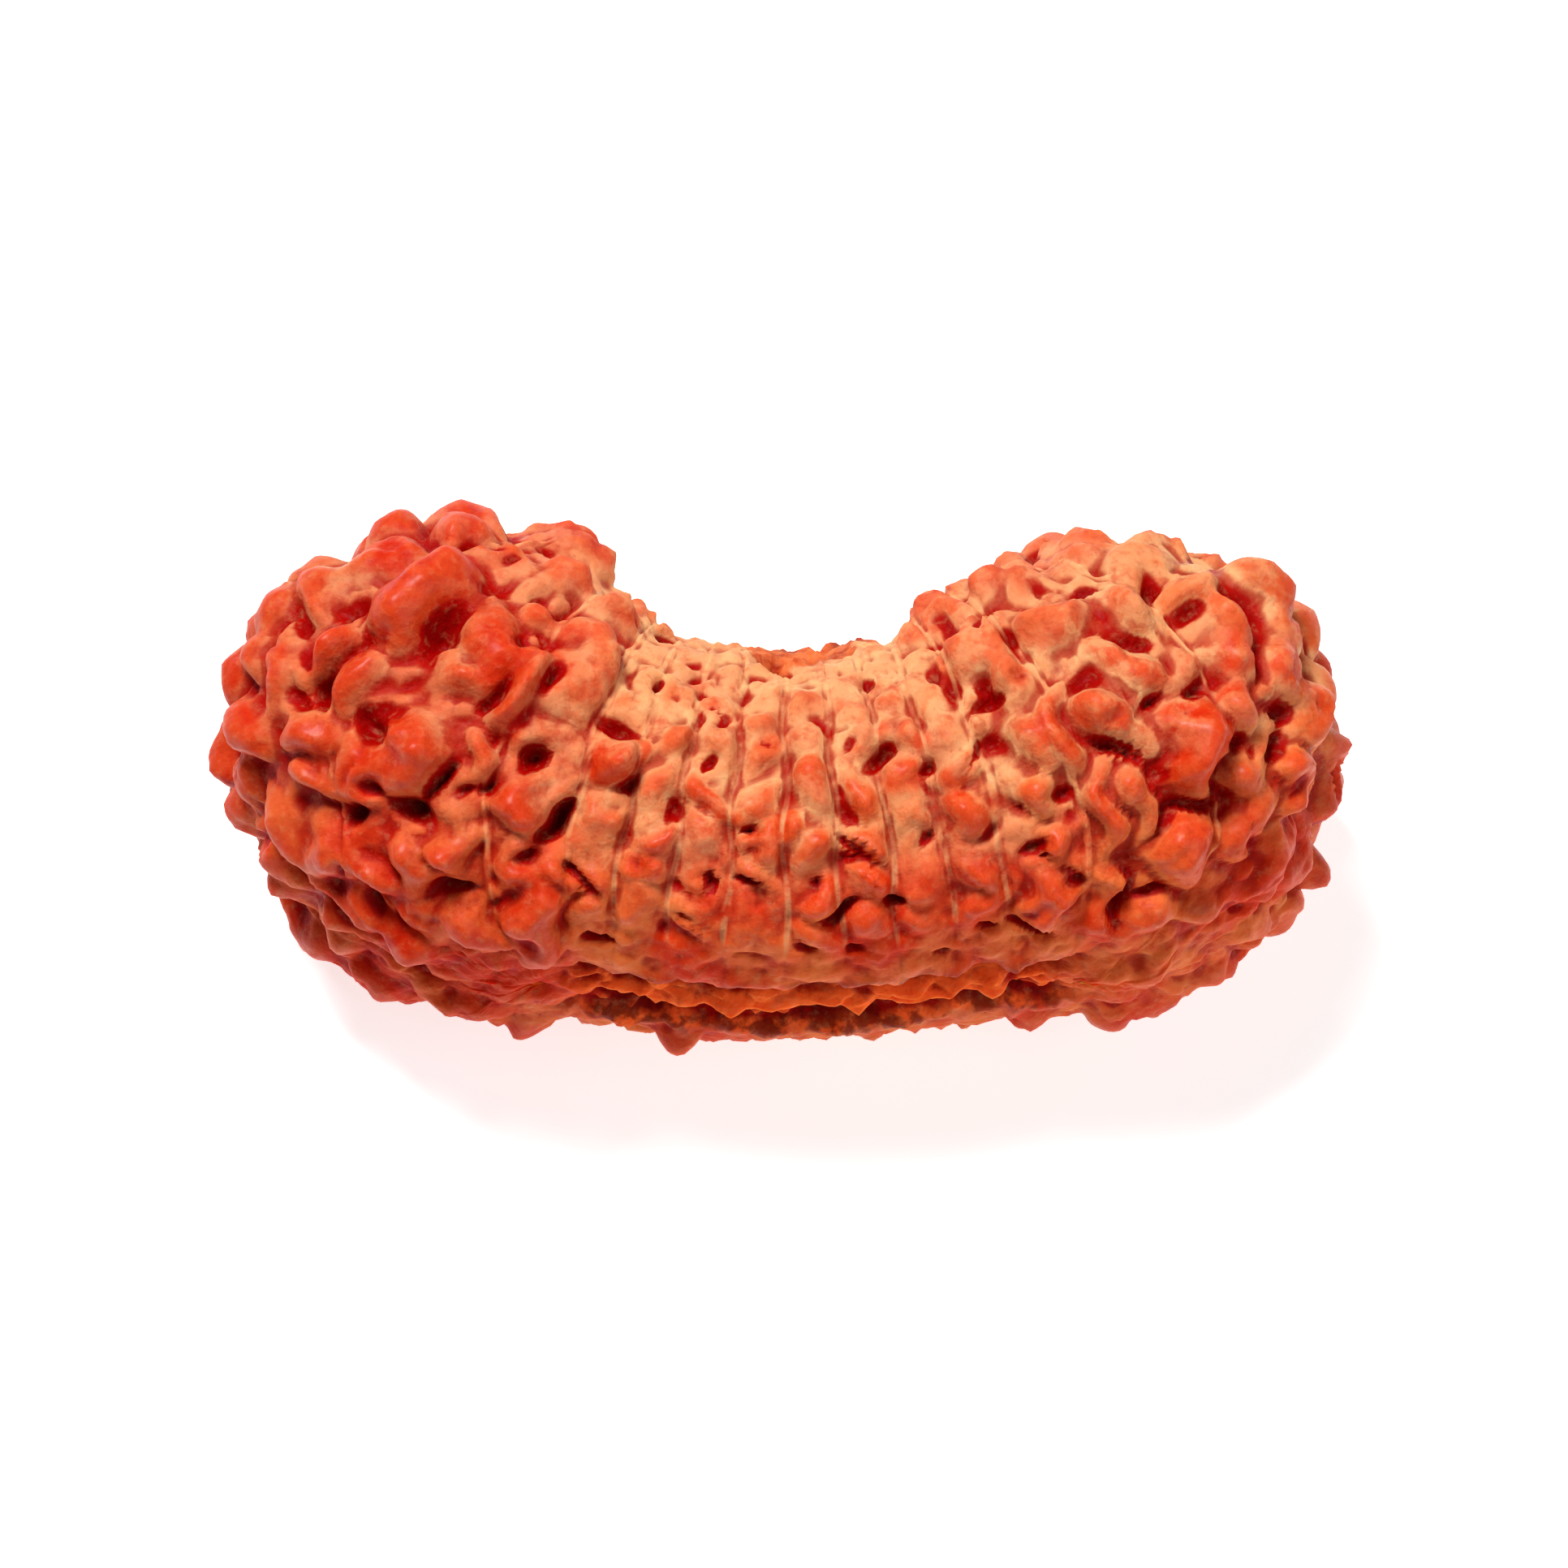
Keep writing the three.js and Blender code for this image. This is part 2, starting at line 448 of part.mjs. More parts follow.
function surfacePoint(around, rise) {
  const point = bodyPoint(around, rise);
  const height = relief(point, around, rise);
  point.addScaledVector(bodyFrame(around, rise).out, height);
  point.add(new THREE.Vector3(CENTRE.x, CENTRE.y, REST_HEIGHT));
  point.z = Math.max(point.z, 0);
  return point;
}

// Columns of points from the furrow's line to the saddle's. The back's columns end in the same
// points as the front's, so the surface closes along both lines.
function makeBead() {
  const places = columnPlaces();
  const count = places.length;
  const positions = [];
  const indices = [];
  const numbers = places.map(() => []);
  places.forEach((around, column) => {
    const twin = count - column;
    for (let row = 0; row <= ROWS; row++) {
      const atPole = row === 0 || row === ROWS;
      if (atPole && twin < column) {
        numbers[column].push(numbers[twin][row]);
        continue;
      }
      numbers[column].push(positions.length / 3);
      const rise = mix(-QUARTER, QUARTER, row / ROWS);
      positions.push(...surfacePoint(around, rise).toArray());
    }
  });
  const corner = (index) => new THREE.Vector3().fromArray(positions, 3 * index);
  const gap = (a, b) => corner(a).distanceTo(corner(b));
  for (let column = 0; column < count; column++) {
    const here = numbers[column];
    const next = numbers[(column + 1) % count];
    for (let row = 0; row < ROWS; row++) {
      const [a, b, c, d] = [here[row], next[row], next[row + 1], here[row + 1]];
      if (gap(a, c) <= gap(b, d)) indices.push(a, b, c, a, c, d);
      else indices.push(a, b, d, b, c, d);
    }
  }
  const geometry = new THREE.BufferGeometry();
  geometry.setAttribute('position', new THREE.Float32BufferAttribute(positions, 3));
  geometry.setIndex(indices);
  geometry.computeVertexNormals();
  const stone = new THREE.MeshStandardMaterial({ color: 0xc9512c, roughness: 0.55, metalness: 0 });
  const bead = new THREE.Mesh(geometry, stone);
  bead.name = 'bead';
  return bead;
}

const rudraksha = new THREE.Group();
rudraksha.add(makeBead());
export default rudraksha;
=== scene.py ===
import json
import math
import bpy
import numpy as np
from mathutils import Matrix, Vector

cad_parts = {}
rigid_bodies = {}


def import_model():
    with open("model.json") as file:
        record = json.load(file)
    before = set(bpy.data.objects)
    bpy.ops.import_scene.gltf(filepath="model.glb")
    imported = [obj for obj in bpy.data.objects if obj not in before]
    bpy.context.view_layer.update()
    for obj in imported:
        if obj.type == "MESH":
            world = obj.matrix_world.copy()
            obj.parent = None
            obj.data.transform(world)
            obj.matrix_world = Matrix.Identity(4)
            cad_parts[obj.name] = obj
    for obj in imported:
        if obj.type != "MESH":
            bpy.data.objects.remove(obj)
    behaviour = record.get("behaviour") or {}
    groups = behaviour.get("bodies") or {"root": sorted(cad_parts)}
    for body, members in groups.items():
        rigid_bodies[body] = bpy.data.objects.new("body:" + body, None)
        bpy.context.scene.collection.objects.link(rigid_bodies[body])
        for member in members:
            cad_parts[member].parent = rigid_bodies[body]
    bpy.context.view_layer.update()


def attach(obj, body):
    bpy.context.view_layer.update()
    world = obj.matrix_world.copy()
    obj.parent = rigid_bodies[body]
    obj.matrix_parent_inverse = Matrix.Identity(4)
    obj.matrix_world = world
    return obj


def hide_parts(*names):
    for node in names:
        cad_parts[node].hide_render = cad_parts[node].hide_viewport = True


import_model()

# A many-faced rudraksha bead, lying on its back: X from lobe to lobe, +Y from the furrow to the
# saddle, +Z up. Shapes are worked out in millimetres and become metres in closedMesh.

quarter = math.pi / 2
millimetre = 0.001

beadForm = {
    "bendRadius": 22.2,  # of the crescent's centreline
    "leftLength": 19.0,  # waist to tip along the centreline
    "rightLength": 18.7,
    "endSquareness": 4,  # power of the rounded outline
    "outlineSteps": 3000,
    "waist": {"depth": 7.0, "furrow": 6.6, "saddle": 6.15},  # radii from the centreline
    "leftLobe": {"depth": 8.4, "furrow": 8.2, "saddle": 8.4, "furrowEnd": 6.6, "saddleEnd": 8.4},
    "rightLobe": {"depth": 8.4, "furrow": 8.1, "saddle": 7.15, "furrowEnd": 8.0, "saddleEnd": 8.4},
    "lobeStart": 4.5,
    "lobeFull": 12.4,
    "saddleLater": 1.3,  # how much later the saddle's side begins to swell
    "depthStart": 3.0,
    "depthFull": 11.0,
    "endSharpness": 4,  # how suddenly the line where the sutures meet comes to its end
    "centre": (0.15, -2.35),  # where the centreline's middle stands over the origin
    "restHeight": 8.85,  # of the centreline over the surface
    "faceWidths": [3.6, 5.6, 5.6, 2.9, 1.62, 1.66, 1.6, 1.62, 1.55, 1.55, 1.6, 1.75, 2.7, 5.0, 5.8, 3.9],
    "narrowFace": 1.9,  # a face up to this width is a rib
    "wideFace": 3.2,  # and from this width on it has nothing of a rib
    "columnStep": 0.175,  # spacing of the mesh's columns
    "columnCrowding": 0.55,  # how much closer they stand beside a line
    "rows": 166,
    "rowCrowding": 1.12,  # above 1 sets the rows closer near the furrow
}


def smooth(low, high, value):  # 0 below low, 1 above high, 3t^2 - 2t^3 between
    t = np.clip((value - low) / (high - low), 0, 1)
    return t * t * (3 - 2 * t)


def smoothAngle(limits, angle):  # the same between two angles in degrees
    return smooth(math.radians(limits[0]), math.radians(limits[1]), angle)


def fade(limits, angle):  # 1, less the given share beyond the second angle
    return 1 - limits[2] * smoothAngle(limits, angle)


def mix(start, end, share):
    return start + (end - start) * share


def scatter(*keys):  # fraction of a big multiple of a sine: 0 to 1, the same on every run
    weights = (127.1, 311.7, 74.7, 53.3)
    bigMultiple = 43758.5453
    total = sum(key * weight for key, weight in zip(keys, weights))
    value = np.sin(total + 0.5) * bigMultiple
    return value - np.floor(value)


def bySide(x, key):  # the left lobe's value or the right one's
    return np.where(x < 0, beadForm["leftLobe"][key], beadForm["rightLobe"][key])


def frontEquator():  # a superellipse x, z over the front, with the length along it
    turn = np.linspace(0, math.pi, beadForm["outlineSteps"] + 1)
    power = 2 / beadForm["endSquareness"]
    side = np.cos(turn)
    reach = np.where(side > 0, beadForm["leftLength"], beadForm["rightLength"])
    x = -reach * np.sign(side) * np.abs(side) ** power
    swell = smooth(beadForm["depthStart"], beadForm["depthFull"], np.abs(x))
    z = mix(beadForm["waist"]["depth"], bySide(x, "depth"), swell) * np.abs(np.sin(turn)) ** power
    length = np.concatenate([[0], np.cumsum(np.hypot(np.diff(x), np.diff(z)))])
    return length, x, z


equatorLength, equatorX, equatorZ = frontEquator()
halfRound = equatorLength[-1]


def equatorPoint(around):  # around runs over the front to halfRound, then round the back
    wrapped = np.mod(around, 2 * halfRound)
    back = wrapped > halfRound
    length = np.where(back, 2 * halfRound - wrapped, wrapped)
    x = np.interp(length, equatorLength, equatorX)
    return x, np.where(back, -1, 1) * np.interp(length, equatorLength, equatorZ)


def polePlace(x, onSaddle):  # x, held softly within the half length of the line where the sutures meet
    half = np.where(onSaddle, bySide(x, "saddleEnd"), bySide(x, "furrowEnd"))
    power = beadForm["endSharpness"]
    return x / (1 + np.abs(x / half) ** power) ** (1 / power)


def bodyPoint(around, rise):
    # rise is the angle from the equator, -90 degrees at the furrow's line and +90 at the saddle's:
    # x goes from pole to equator by its cosine, y is the radius times its sine, then x and y are
    # bent on an arc
    endX, endZ = equatorPoint(around)
    flat = np.maximum(np.cos(rise), 0)
    height = np.sin(rise)
    saddle = height > 0
    pole = polePlace(endX, saddle)
    x = mix(pole, endX, flat)
    later = beadForm["saddleLater"] * saddle
    swell = smooth(beadForm["lobeStart"] + later, beadForm["lobeFull"] + later, np.abs(x))
    waist = np.where(saddle, beadForm["waist"]["saddle"], beadForm["waist"]["furrow"])
    lobe = np.where(saddle, bySide(x, "saddle"), bySide(x, "furrow"))
    y = mix(waist, lobe, swell) * height
    turn = x / beadForm["bendRadius"]
    radius = beadForm["bendRadius"] - y
    bent = [radius * np.sin(turn), beadForm["bendRadius"] - radius * np.cos(turn), endZ * flat]
    return np.stack(np.broadcast_arrays(*bent), -1)


def unit(vectors):
    return vectors / np.linalg.norm(vectors, axis=-1, keepdims=True)


def bodyFrame(around, rise):  # along the equator, towards the saddle, and out, by small differences
    nudge = 0.001
    safe = np.clip(rise, -quarter + 2 * nudge, quarter - 2 * nudge)
    along = unit(bodyPoint(around + nudge, safe) - bodyPoint(around - nudge, safe))
    out = unit(np.cross(along, bodyPoint(around, safe + nudge) - bodyPoint(around, safe - nudge)))
    return along, np.cross(out, along), out


def sutureLines():  # the front's come from the face widths, and the back's lie behind them
    widths = np.array(beadForm["faceWidths"])
    front = np.cumsum(widths * halfRound / widths.sum())[:-1]
    return np.concatenate([front, 2 * halfRound - front[::-1]])


lines = sutureLines()
edges = np.concatenate([[lines[-1] - 2 * halfRound], lines, [lines[0] + 2 * halfRound]])
print("body: %d faces, %.1f mm round the equator" % (len(lines), 2 * halfRound))

namedView = {
    "tilt": 24,  # degrees from straight above towards the furrow's side
    "upMiddle": 1.95,  # its middle is this far up from the bead's centre
    "searchGrid": (400, 160),  # points round the equator and along the rise to pick a place from
    "searchRise": 89,
    "leastSeen": 0.02,  # cosine between the surface and the view from which a point counts as seen
    "leastFacing": 0.45,  # cosine that widening a slanted knob stops at
}

# Named knobs and pits, in millimetres in the plane of that view:
# across to the right, up, length, width, turn in degrees, height or depth
bigKnobs = [
    # left lobe
    (-12.2, 5.9, 4.7, 3.5, 52, 1.7), (-15.7, 6.5, 2.7, 1.9, 0, 0.8), (-15.5, 4.5, 2.6, 1.6, 5, 1.2),
    (-16.0, 1.7, 2.8, 2.2, 0, 1.1), (-17.1, 3.5, 3.4, 1.3, 97, 0.9), (-14.5, 3.3, 3.4, 1.7, 70, 0.95),
    (-18.8, 3.5, 3.0, 1.9, 62, 1.3), (-18.2, 0.7, 2.8, 2.1, 20, 1.0), (-12.9, 1.2, 3.6, 2.7, -52, 1.5),
    (-9.2, 2.8, 3.9, 1.8, 76, 1.4), (-11.1, 3.3, 2.3, 1.7, 15, 0.9), (-9.3, -0.6, 2.2, 2.1, 0, 1.0),
    (-6.2, 0.8, 2.8, 2.1, 22, 1.2), (-11.3, -1.9, 2.1, 2.0, 20, 1.0), (-12.6, -2.7, 2.1, 2.5, 10, 0.9),
    (-16.6, -1.8, 3.4, 1.8, 10, 0.8), (-15.8, 0.1, 3.2, 1.5, 5, 0.85),
    (-13.9, -2.7, 3.3, 1.3, -66, 0.9), (-16.6, -5.0, 5.0, 1.8, -46, 0.95),
    (-13.0, -5.0, 3.5, 1.5, -36, 0.85), (-10.7, -4.7, 3.0, 2.3, -15, 0.95),
    (-8.9, -3.0, 2.4, 2.1, 0, 0.85), (-14.0, -6.5, 3.2, 1.5, -18, 0.75),
    (-11.2, -7.3, 3.8, 1.2, -14, 0.65), (-13.7, 9.1, 2.2, 1.4, 20, 1.1), (-11.0, 9.1, 3.8, 1.9, 0, 1.1),
    (-7.5, 7.7, 3.5, 2.7, -15, 1.1), (-16.3, 7.6, 2.5, 1.5, 30, 0.7), (-8.3, 5.2, 1.8, 1.8, 60, 0.9),
    (-9.9, 5.7, 2.0, 1.5, 80, 0.6), (-10.7, 1.0, 2.2, 1.1, 85, 0.7), (-7.5, -2.7, 3.0, 1.5, 80, 0.8),
    (-3.5, -9.1, 1.9, 1.3, 80, 0.9), (-17.9, -2.4, 2.6, 1.6, -60, 0.5),
    (-16.9, -4.6, 2.4, 1.4, -50, 0.5), (-14.0, -8.1, 2.8, 1.2, -30, 0.6),
    (-15.6, -6.6, 2.4, 1.3, -40, 0.5),
    # right lobe
    (13.7, 1.5, 4.3, 2.9, 78, 1.6), (11.0, 2.2, 2.8, 1.9, -8, 1.2), (11.6, 3.9, 4.5, 1.7, -6, 1.0),
    (11.9, 5.8, 2.6, 2.1, 10, 1.1), (14.7, 4.2, 2.8, 1.7, -22, 1.0), (15.1, 2.5, 2.5, 1.7, 75, 1.1),
    (16.9, 3.7, 2.4, 2.2, 45, 0.9), (17.5, 5.3, 3.0, 1.9, -58, 0.8), (13.0, 7.9, 2.8, 1.9, 0, 0.8),
    (10.9, 8.2, 2.8, 1.4, -5, 0.9), (8.6, 6.2, 1.8, 1.6, 0, 0.8), (17.2, 0.3, 2.9, 1.9, -60, 1.25),
    (18.8, 1.0, 2.1, 1.9, 0, 1.1), (18.5, 3.4, 3.3, 1.3, -78, 0.8), (15.6, 0.2, 2.4, 2.0, 30, 0.9),
    (13.6, -2.2, 3.3, 2.6, -48, 1.3), (12.1, -0.2, 2.5, 1.7, -42, 0.85),
    (16.7, -2.5, 3.6, 2.3, -60, 0.9), (18.6, -3.0, 1.8, 1.7, -30, 1.5),
    (11.1, -0.7, 3.7, 1.2, -80, 0.85), (9.7, 1.7, 3.9, 1.3, -68, 1.0), (7.7, 3.5, 2.5, 1.8, -60, 1.0),
    (8.6, 1.8, 2.2, 1.8, 60, 0.85), (8.7, -0.2, 1.8, 1.7, 90, 0.85), (12.6, -4.3, 2.9, 1.9, -10, 0.95),
    (14.7, -6.5, 3.7, 1.5, 20, 0.85), (17.0, -5.2, 2.3, 1.4, 50, 0.8), (12.4, -6.1, 5.0, 1.4, 26, 0.75),
    (9.1, -3.8, 2.7, 1.9, 80, 1.0), (9.1, -1.8, 1.9, 1.8, 90, 0.85), (6.7, 6.3, 2.5, 1.9, 30, 0.7),
    (10.3, 6.7, 1.9, 1.4, 30, 0.5), (14.2, 8.4, 3.4, 1.4, -25, 0.9), (14.4, -8.2, 2.6, 1.3, 25, 0.7),
]
pits = [
    # left lobe
    (-15.6, 3.2, 1.1, 1.1, 0, 1.5), (-13.9, 1.9, 2.6, 0.9, 41, 1.1), (-19.0, 1.8, 2.1, 1.0, 20, 1.2),
    (-12.8, -0.7, 1.9, 1.1, 0, 1.5), (-13.8, -0.2, 1.4, 0.7, -28, 1.0), (-11.7, 0.1, 1.4, 0.7, 58, 0.9),
    (-11.3, 4.7, 2.3, 1.0, 58, 1.3), (-9.0, 0.7, 1.1, 1.1, 0, 1.5), (-14.7, -0.9, 1.1, 0.9, 40, 0.8),
    (-15.0, -3.0, 1.5, 1.3, -40, 0.7), (-15.1, -4.3, 3.1, 1.0, -36, 1.1),
    (-12.7, -6.3, 3.4, 0.7, -14, 0.8), (-11.5, -3.5, 2.1, 0.7, 18, 0.9),
    (-8.8, -4.7, 1.4, 1.2, 20, 0.9), (-14.3, 5.7, 1.5, 1.1, 0, 0.6), (-12.8, 7.6, 1.0, 1.0, 0, 0.5),
    (-18.2, -1.0, 1.7, 0.7, 12, 0.8), (-8.2, -1.1, 1.4, 0.9, 30, 0.9), (-16.6, 5.2, 0.9, 0.7, 60, 0.6),
    (-10.1, 2.8, 1.0, 0.7, 50, 0.7),
    # right lobe
    (11.3, 1.1, 1.7, 0.6, -20, 1.0), (14.7, 7.5, 1.5, 1.4, 0, 0.9), (15.4, 5.7, 1.9, 1.3, -35, 0.7),
    (13.0, -1.1, 1.3, 0.7, 35, 0.9), (18.1, -1.1, 1.5, 1.4, 60, 1.2), (15.8, -1.7, 1.1, 1.5, 0, 1.0),
    (11.4, -3.8, 2.6, 0.6, 88, 1.0), (12.3, -3.6, 1.6, 0.5, 0, 0.8), (15.8, -5.3, 2.1, 1.1, 20, 0.8),
    (14.0, -0.5, 1.4, 0.6, 10, 0.9), (15.0, 1.5, 1.1, 0.7, 10, 0.9), (16.6, 2.5, 1.4, 0.8, -20, 0.9),
    (10.0, -0.2, 1.0, 0.6, 0, 0.8), (8.3, -4.7, 1.3, 0.8, -20, 0.9), (12.1, 4.8, 1.4, 0.6, 15, 0.8),
    (13.7, 5.6, 1.3, 0.9, 20, 0.7), (7.4, 2.7, 1.7, 0.7, 40, 0.8), (17.1, 0.0, 1.0, 0.7, -60, 0.7),
    (12.6, 2.8, 1.3, 0.5, 55, 0.7), (5.8, 3.3, 2.6, 0.9, -60, 0.6), (11.0, -7.0, 2.6, 0.5, 24, 0.6),
    (5.7, 4.9, 2.6, 0.7, -55, 0.6), (6.9, 4.5, 2.4, 0.6, -60, 0.5),
]
ribPits = [
    (-2.3, 1.9, 1.6, 0.5, 55, 0.5), (-2.3, 0.5, 1.1, 0.6, 70, 0.5), (-0.8, 1.1, 1.1, 0.5, -50, 0.4),
    (-0.9, 2.8, 1.3, 0.7, 60, 0.25), (2.1, 1.2, 1.1, 0.7, 80, 0.4), (3.1, 0.5, 1.1, 0.7, -60, 0.5),
    (2.6, -1.9, 2.4, 0.7, -20, 0.6), (2.2, -0.8, 1.0, 0.7, 0, 0.4), (-1.3, -3.5, 1.0, 0.4, 0, 0.7),
    (-2.6, -3.1, 0.7, 0.6, 20, 0.5), (1.9, -4.3, 1.1, 0.5, 0, 0.6), (3.6, -3.9, 1.3, 0.7, 30, 0.8),
    (2.0, -5.3, 0.7, 0.6, 0, 0.5), (0.4, -5.6, 1.1, 0.4, -5, 0.5), (5.2, -5.6, 0.9, 0.4, 15, 0.5),
    (7.1, -4.8, 0.9, 0.5, 10, 0.5), (8.5, -4.8, 1.3, 0.5, -20, 0.8), (-4.7, -2.8, 1.0, 1.4, 90, 0.4),
    (-1.4, -1.3, 0.7, 0.5, 0, 0.5), (-6.6, -5.4, 1.9, 0.6, 0, 0.8), (-6.8, -2.7, 1.8, 0.6, -60, 0.6),
    (1.1, -3.2, 0.6, 0.4, -40, 0.4), (-7.6, -1.0, 1.6, 0.8, 30, 0.8), (6.6, 0.9, 1.2, 0.4, 70, 0.4),
    (9.3, -2.3, 0.6, 0.4, -10, 0.5), (-4.3, 3.3, 0.8, 0.4, 80, 0.4), (-5.4, 3.5, 1.2, 0.4, 85, 0.3),
]

beadRelief = {
    # a fade is two angles in degrees, and the share that is lost between them
    "ribRow": {"step": 1.45, "height": 0.7, "turn": 1.2, "length": 0.75, "lengthBase": 0.9,
               "lengthVary": 0.3, "saddleFade": (4, 30, 0.75), "steepFade": (46, 62, 0.85)},
    "wideRow": {"step": 2.3, "height": 1.4, "turn": 3.1, "length": 0.62, "lengthBase": 0.8,
                "lengthVary": 0.6, "saddleFade": (4, 30, 0), "steepFade": (54, 72, 0.75)},
    "knobCell": 2.5,  # width that a row of knobs takes on a wide face
    "knobReach": 70,  # degrees from the equator
    "faceReach": 6,  # what a face is longer than its pole's distance from the equator
    "lobeReach": 2,  # and again where it crosses the equator further out than the next value
    "lobeBeyond": 9,
    "alongJitter": 0.5,  # shares of a step and of a row's width
    "acrossJitter": 0.25,
    "widthBase": 0.5,
    "widthVary": 0.18,
    "heightBase": 0.6,
    "heightVary": 0.6,
    "namedRise": 1.2,  # on the named heights
    "namedSpread": 1.04,  # named knobs reach this much further than their visible edge
    "takenShare": 1.3,  # squared distance, in half sizes of a named knob, that no sown one enters
    "bumpThickness": 2.5,
    "roundness": (1.5, 2.6),  # powers of the sharpest and the roundest profile
    "softness": 1.25,
    "knobBlend": 5,  # powers of the sums: a higher one keeps bumps that touch more apart
    "pebbleBlend": 4,
    "pitBlend": 3,
    "layerBlend": 4,
    "level": 0.2,  # that the valleys between the knobs are filled to
    "warp": 0.24,
    "warpWaves": [(0, 1.9, 2.3, 0.4), (1.7, 0, 2.1, 1.9), (1.8, 2.2, 0, 3.1)],  # along x, y, z; shift
    "crumple": [(2.4, 0.26), (1.2, 0.2)],  # size and amount of each cloud that bends the knobs
    "pebbles": (1700, 0.4, 0.85, 0.66, 41),  # how many, least and largest half width, height, seed
    "holes": (300, 0.35, 0.65, 0.7, 51),
    "pebbleSoftness": 1.4,
    "pebblesOnRibs": 0.5,
    "strewRise": (-0.93, 0.9),  # sines of the lowest and the highest rise
    "strewHeight": (0.5, 1.2),
    "strewStretch": (1, 1.8),
    "pitSpread": 1.24,
    "pitSoftness": 2.0,
    "pitDepth": 0.76,
    "ribPitSoftness": 1.4,
    "ribPitDepth": 1.1,
    "ribSwell": 0.5,
    "faceSwell": 0.25,
    "swellPower": 6,
    "swellSaddleFade": (5, 45, 0.6),
    "swellFurrowFade": (48, 66, 0.55),
    "lineWander": 0.13,
    "lineWaves": (0.9, 1.7),  # along x and y
    "lineAtPole": 0.35,  # share of its distance that a line's side keeps where the lines meet
    "lineEdge": 0.04,
    "lineGap": 0.3,
    "knobsOnLine": 0.75,  # share of their height that is left on a line
    "swellOnLine": 0.7,
    "linesShown": (0.35, 0.7),  # cosines of the rise
    "threadHeight": 0.13,
    "threadWidth": 0.1,
    "threadHidden": (0.2, 0.8),  # heights of the named knobs that cover it
    "grooveDepth": 0.07,
    "groovePlace": 0.17,
    "grooveWidth": 0.07,
    "grooveHidden": (0.4, 1.0),
    "girth": (0.72, 6),  # millimetres per radian of rise: this share of the hypotenuse of z and 6
    "seamFlat": 0.7,  # share of the relief that is lost where the sutures meet
    "seamWidth": 0.6,
    "furrow": {
        "half": 5.6, "fade": 1.6, "middle": 0.8, "width": 1.75, "scallop": 0.28,
        "ribEnd": (-0.35, 0.05),  # from the scalloped edge
        # a band of painted shadow just under the rib ends
        "ribEndShadowMiddle": 0.4, "ribEndShadow": (0.25, 0.7),
        "ridge": 0.5, "ridgeSide": (0.15, 0.75),
        "depth": 0.8, "wall": (-0.55, -0.1),
        "stretch": (0.4, 1, 1), "fibreSizes": (0.36, 0.18), "fineShare": 0.6,
    },
    "scar": {
        "half": 2.5, "fade": 3.0, "middle": 0.9, "patch": (1.0, 2.4), "rise": 0.15,
        "acrossReach": 4.6, "upReach": 6.8, "rim": (0.72, 1.02), "ragged": 0.14, "raggedSize": 1.3,
        "fibreShare": 0.4, "fibreSize": 0.3,
    },
    "fibreRoughness": 0.42,
    "waxRoughness": 0.15,
    "waxSizes": (0.9, 0.45),
    "waxShares": (1.4, 1.15),  # between the knobs and on them
    "waxOnKnobs": (0.5, 1.1),
    "fineShare": 0.6,  # of the smaller cloud or crease beside the larger
    "grain": 0.04,
    "grainSize": 0.24,
    "crease": 0.12,
    "creaseSize": 1.5,
    "creaseWidth": 0.35,
    "fineCreaseSize": 0.55,  # share of the size
    "fineCreaseWidth": 0.3,
    "seeds": {"warp": (21, 22, 23), "fibres": (11, 12), "scar": (14, 13), "wax": (1, 2), "grain": 3,
              "crease": 4, "fineCrease": 5},
}


def makeBumps(around, rise, direction, halfLength, halfWidth, height):
    out = bodyFrame(around, rise)[2]
    centre = bodyPoint(around, rise)
    axis = unit(direction - np.sum(direction * out, -1, keepdims=True) * out)
    low, high = beadRelief["roundness"]
    return {
        "centre": centre, "out": out, "axis": axis, "cross": np.cross(out, axis),
        "halfLength": halfLength, "halfWidth": halfWidth, "height": height,
        "roundness": mix(low, high, scatter(*centre.T)),
    }


def viewAxes():  # up in the view, and towards the camera
    tilt = math.radians(namedView["tilt"])
    return np.array([0, math.cos(tilt), math.sin(tilt)]), np.array([0, -math.sin(tilt), math.cos(tilt)])


def namedBumps(rows):  # each sits where the body is seen nearest to its place in the tilted view
    up, towards = viewAxes()
    limit = math.radians(namedView["searchRise"])
    columnCount, rowCount = namedView["searchGrid"]
    around = 2 * halfRound * np.arange(columnCount) / columnCount
    rise = np.linspace(-limit, limit, rowCount)
    around, rise = [grid.ravel() for grid in np.meshgrid(around, rise, indexing="ij")]
    seen = bodyFrame(around, rise)[2] @ towards > namedView["leastSeen"]
    around, rise = around[seen], rise[seen]
    points = bodyPoint(around, rise)
    places = np.stack([points[:, 0], points @ up - namedView["upMiddle"]], -1)
    across, upwards, length, width, turn, height = np.array(rows, float).T
    gaps = np.hypot(places[:, None, 0] - across, places[:, None, 1] - upwards)
    spot = np.argmin(gaps, 0)
    angle = np.radians(turn)
    direction = np.sin(angle)[:, None] * up
    direction[:, 0] += np.cos(angle)
    facing = bodyFrame(around[spot], rise[spot])[2] @ towards
    slant = np.sqrt(np.maximum(namedView["leastFacing"], facing))
    return makeBumps(around[spot], rise[spot], direction, length / 2, width / 2 / slant, height)


def taken(points, knobs):  # whether a named knob's ellipse, or the rim around it, covers each point
    offset = points[:, None] - knobs["centre"]
    along = np.sum(offset * knobs["axis"], -1)
    aside2 = np.sum(offset * offset, -1) - along ** 2
    r2 = (along / knobs["halfLength"]) ** 2 + aside2 / knobs["halfWidth"] ** 2
    return np.any(r2 < beadRelief["takenShare"], -1)


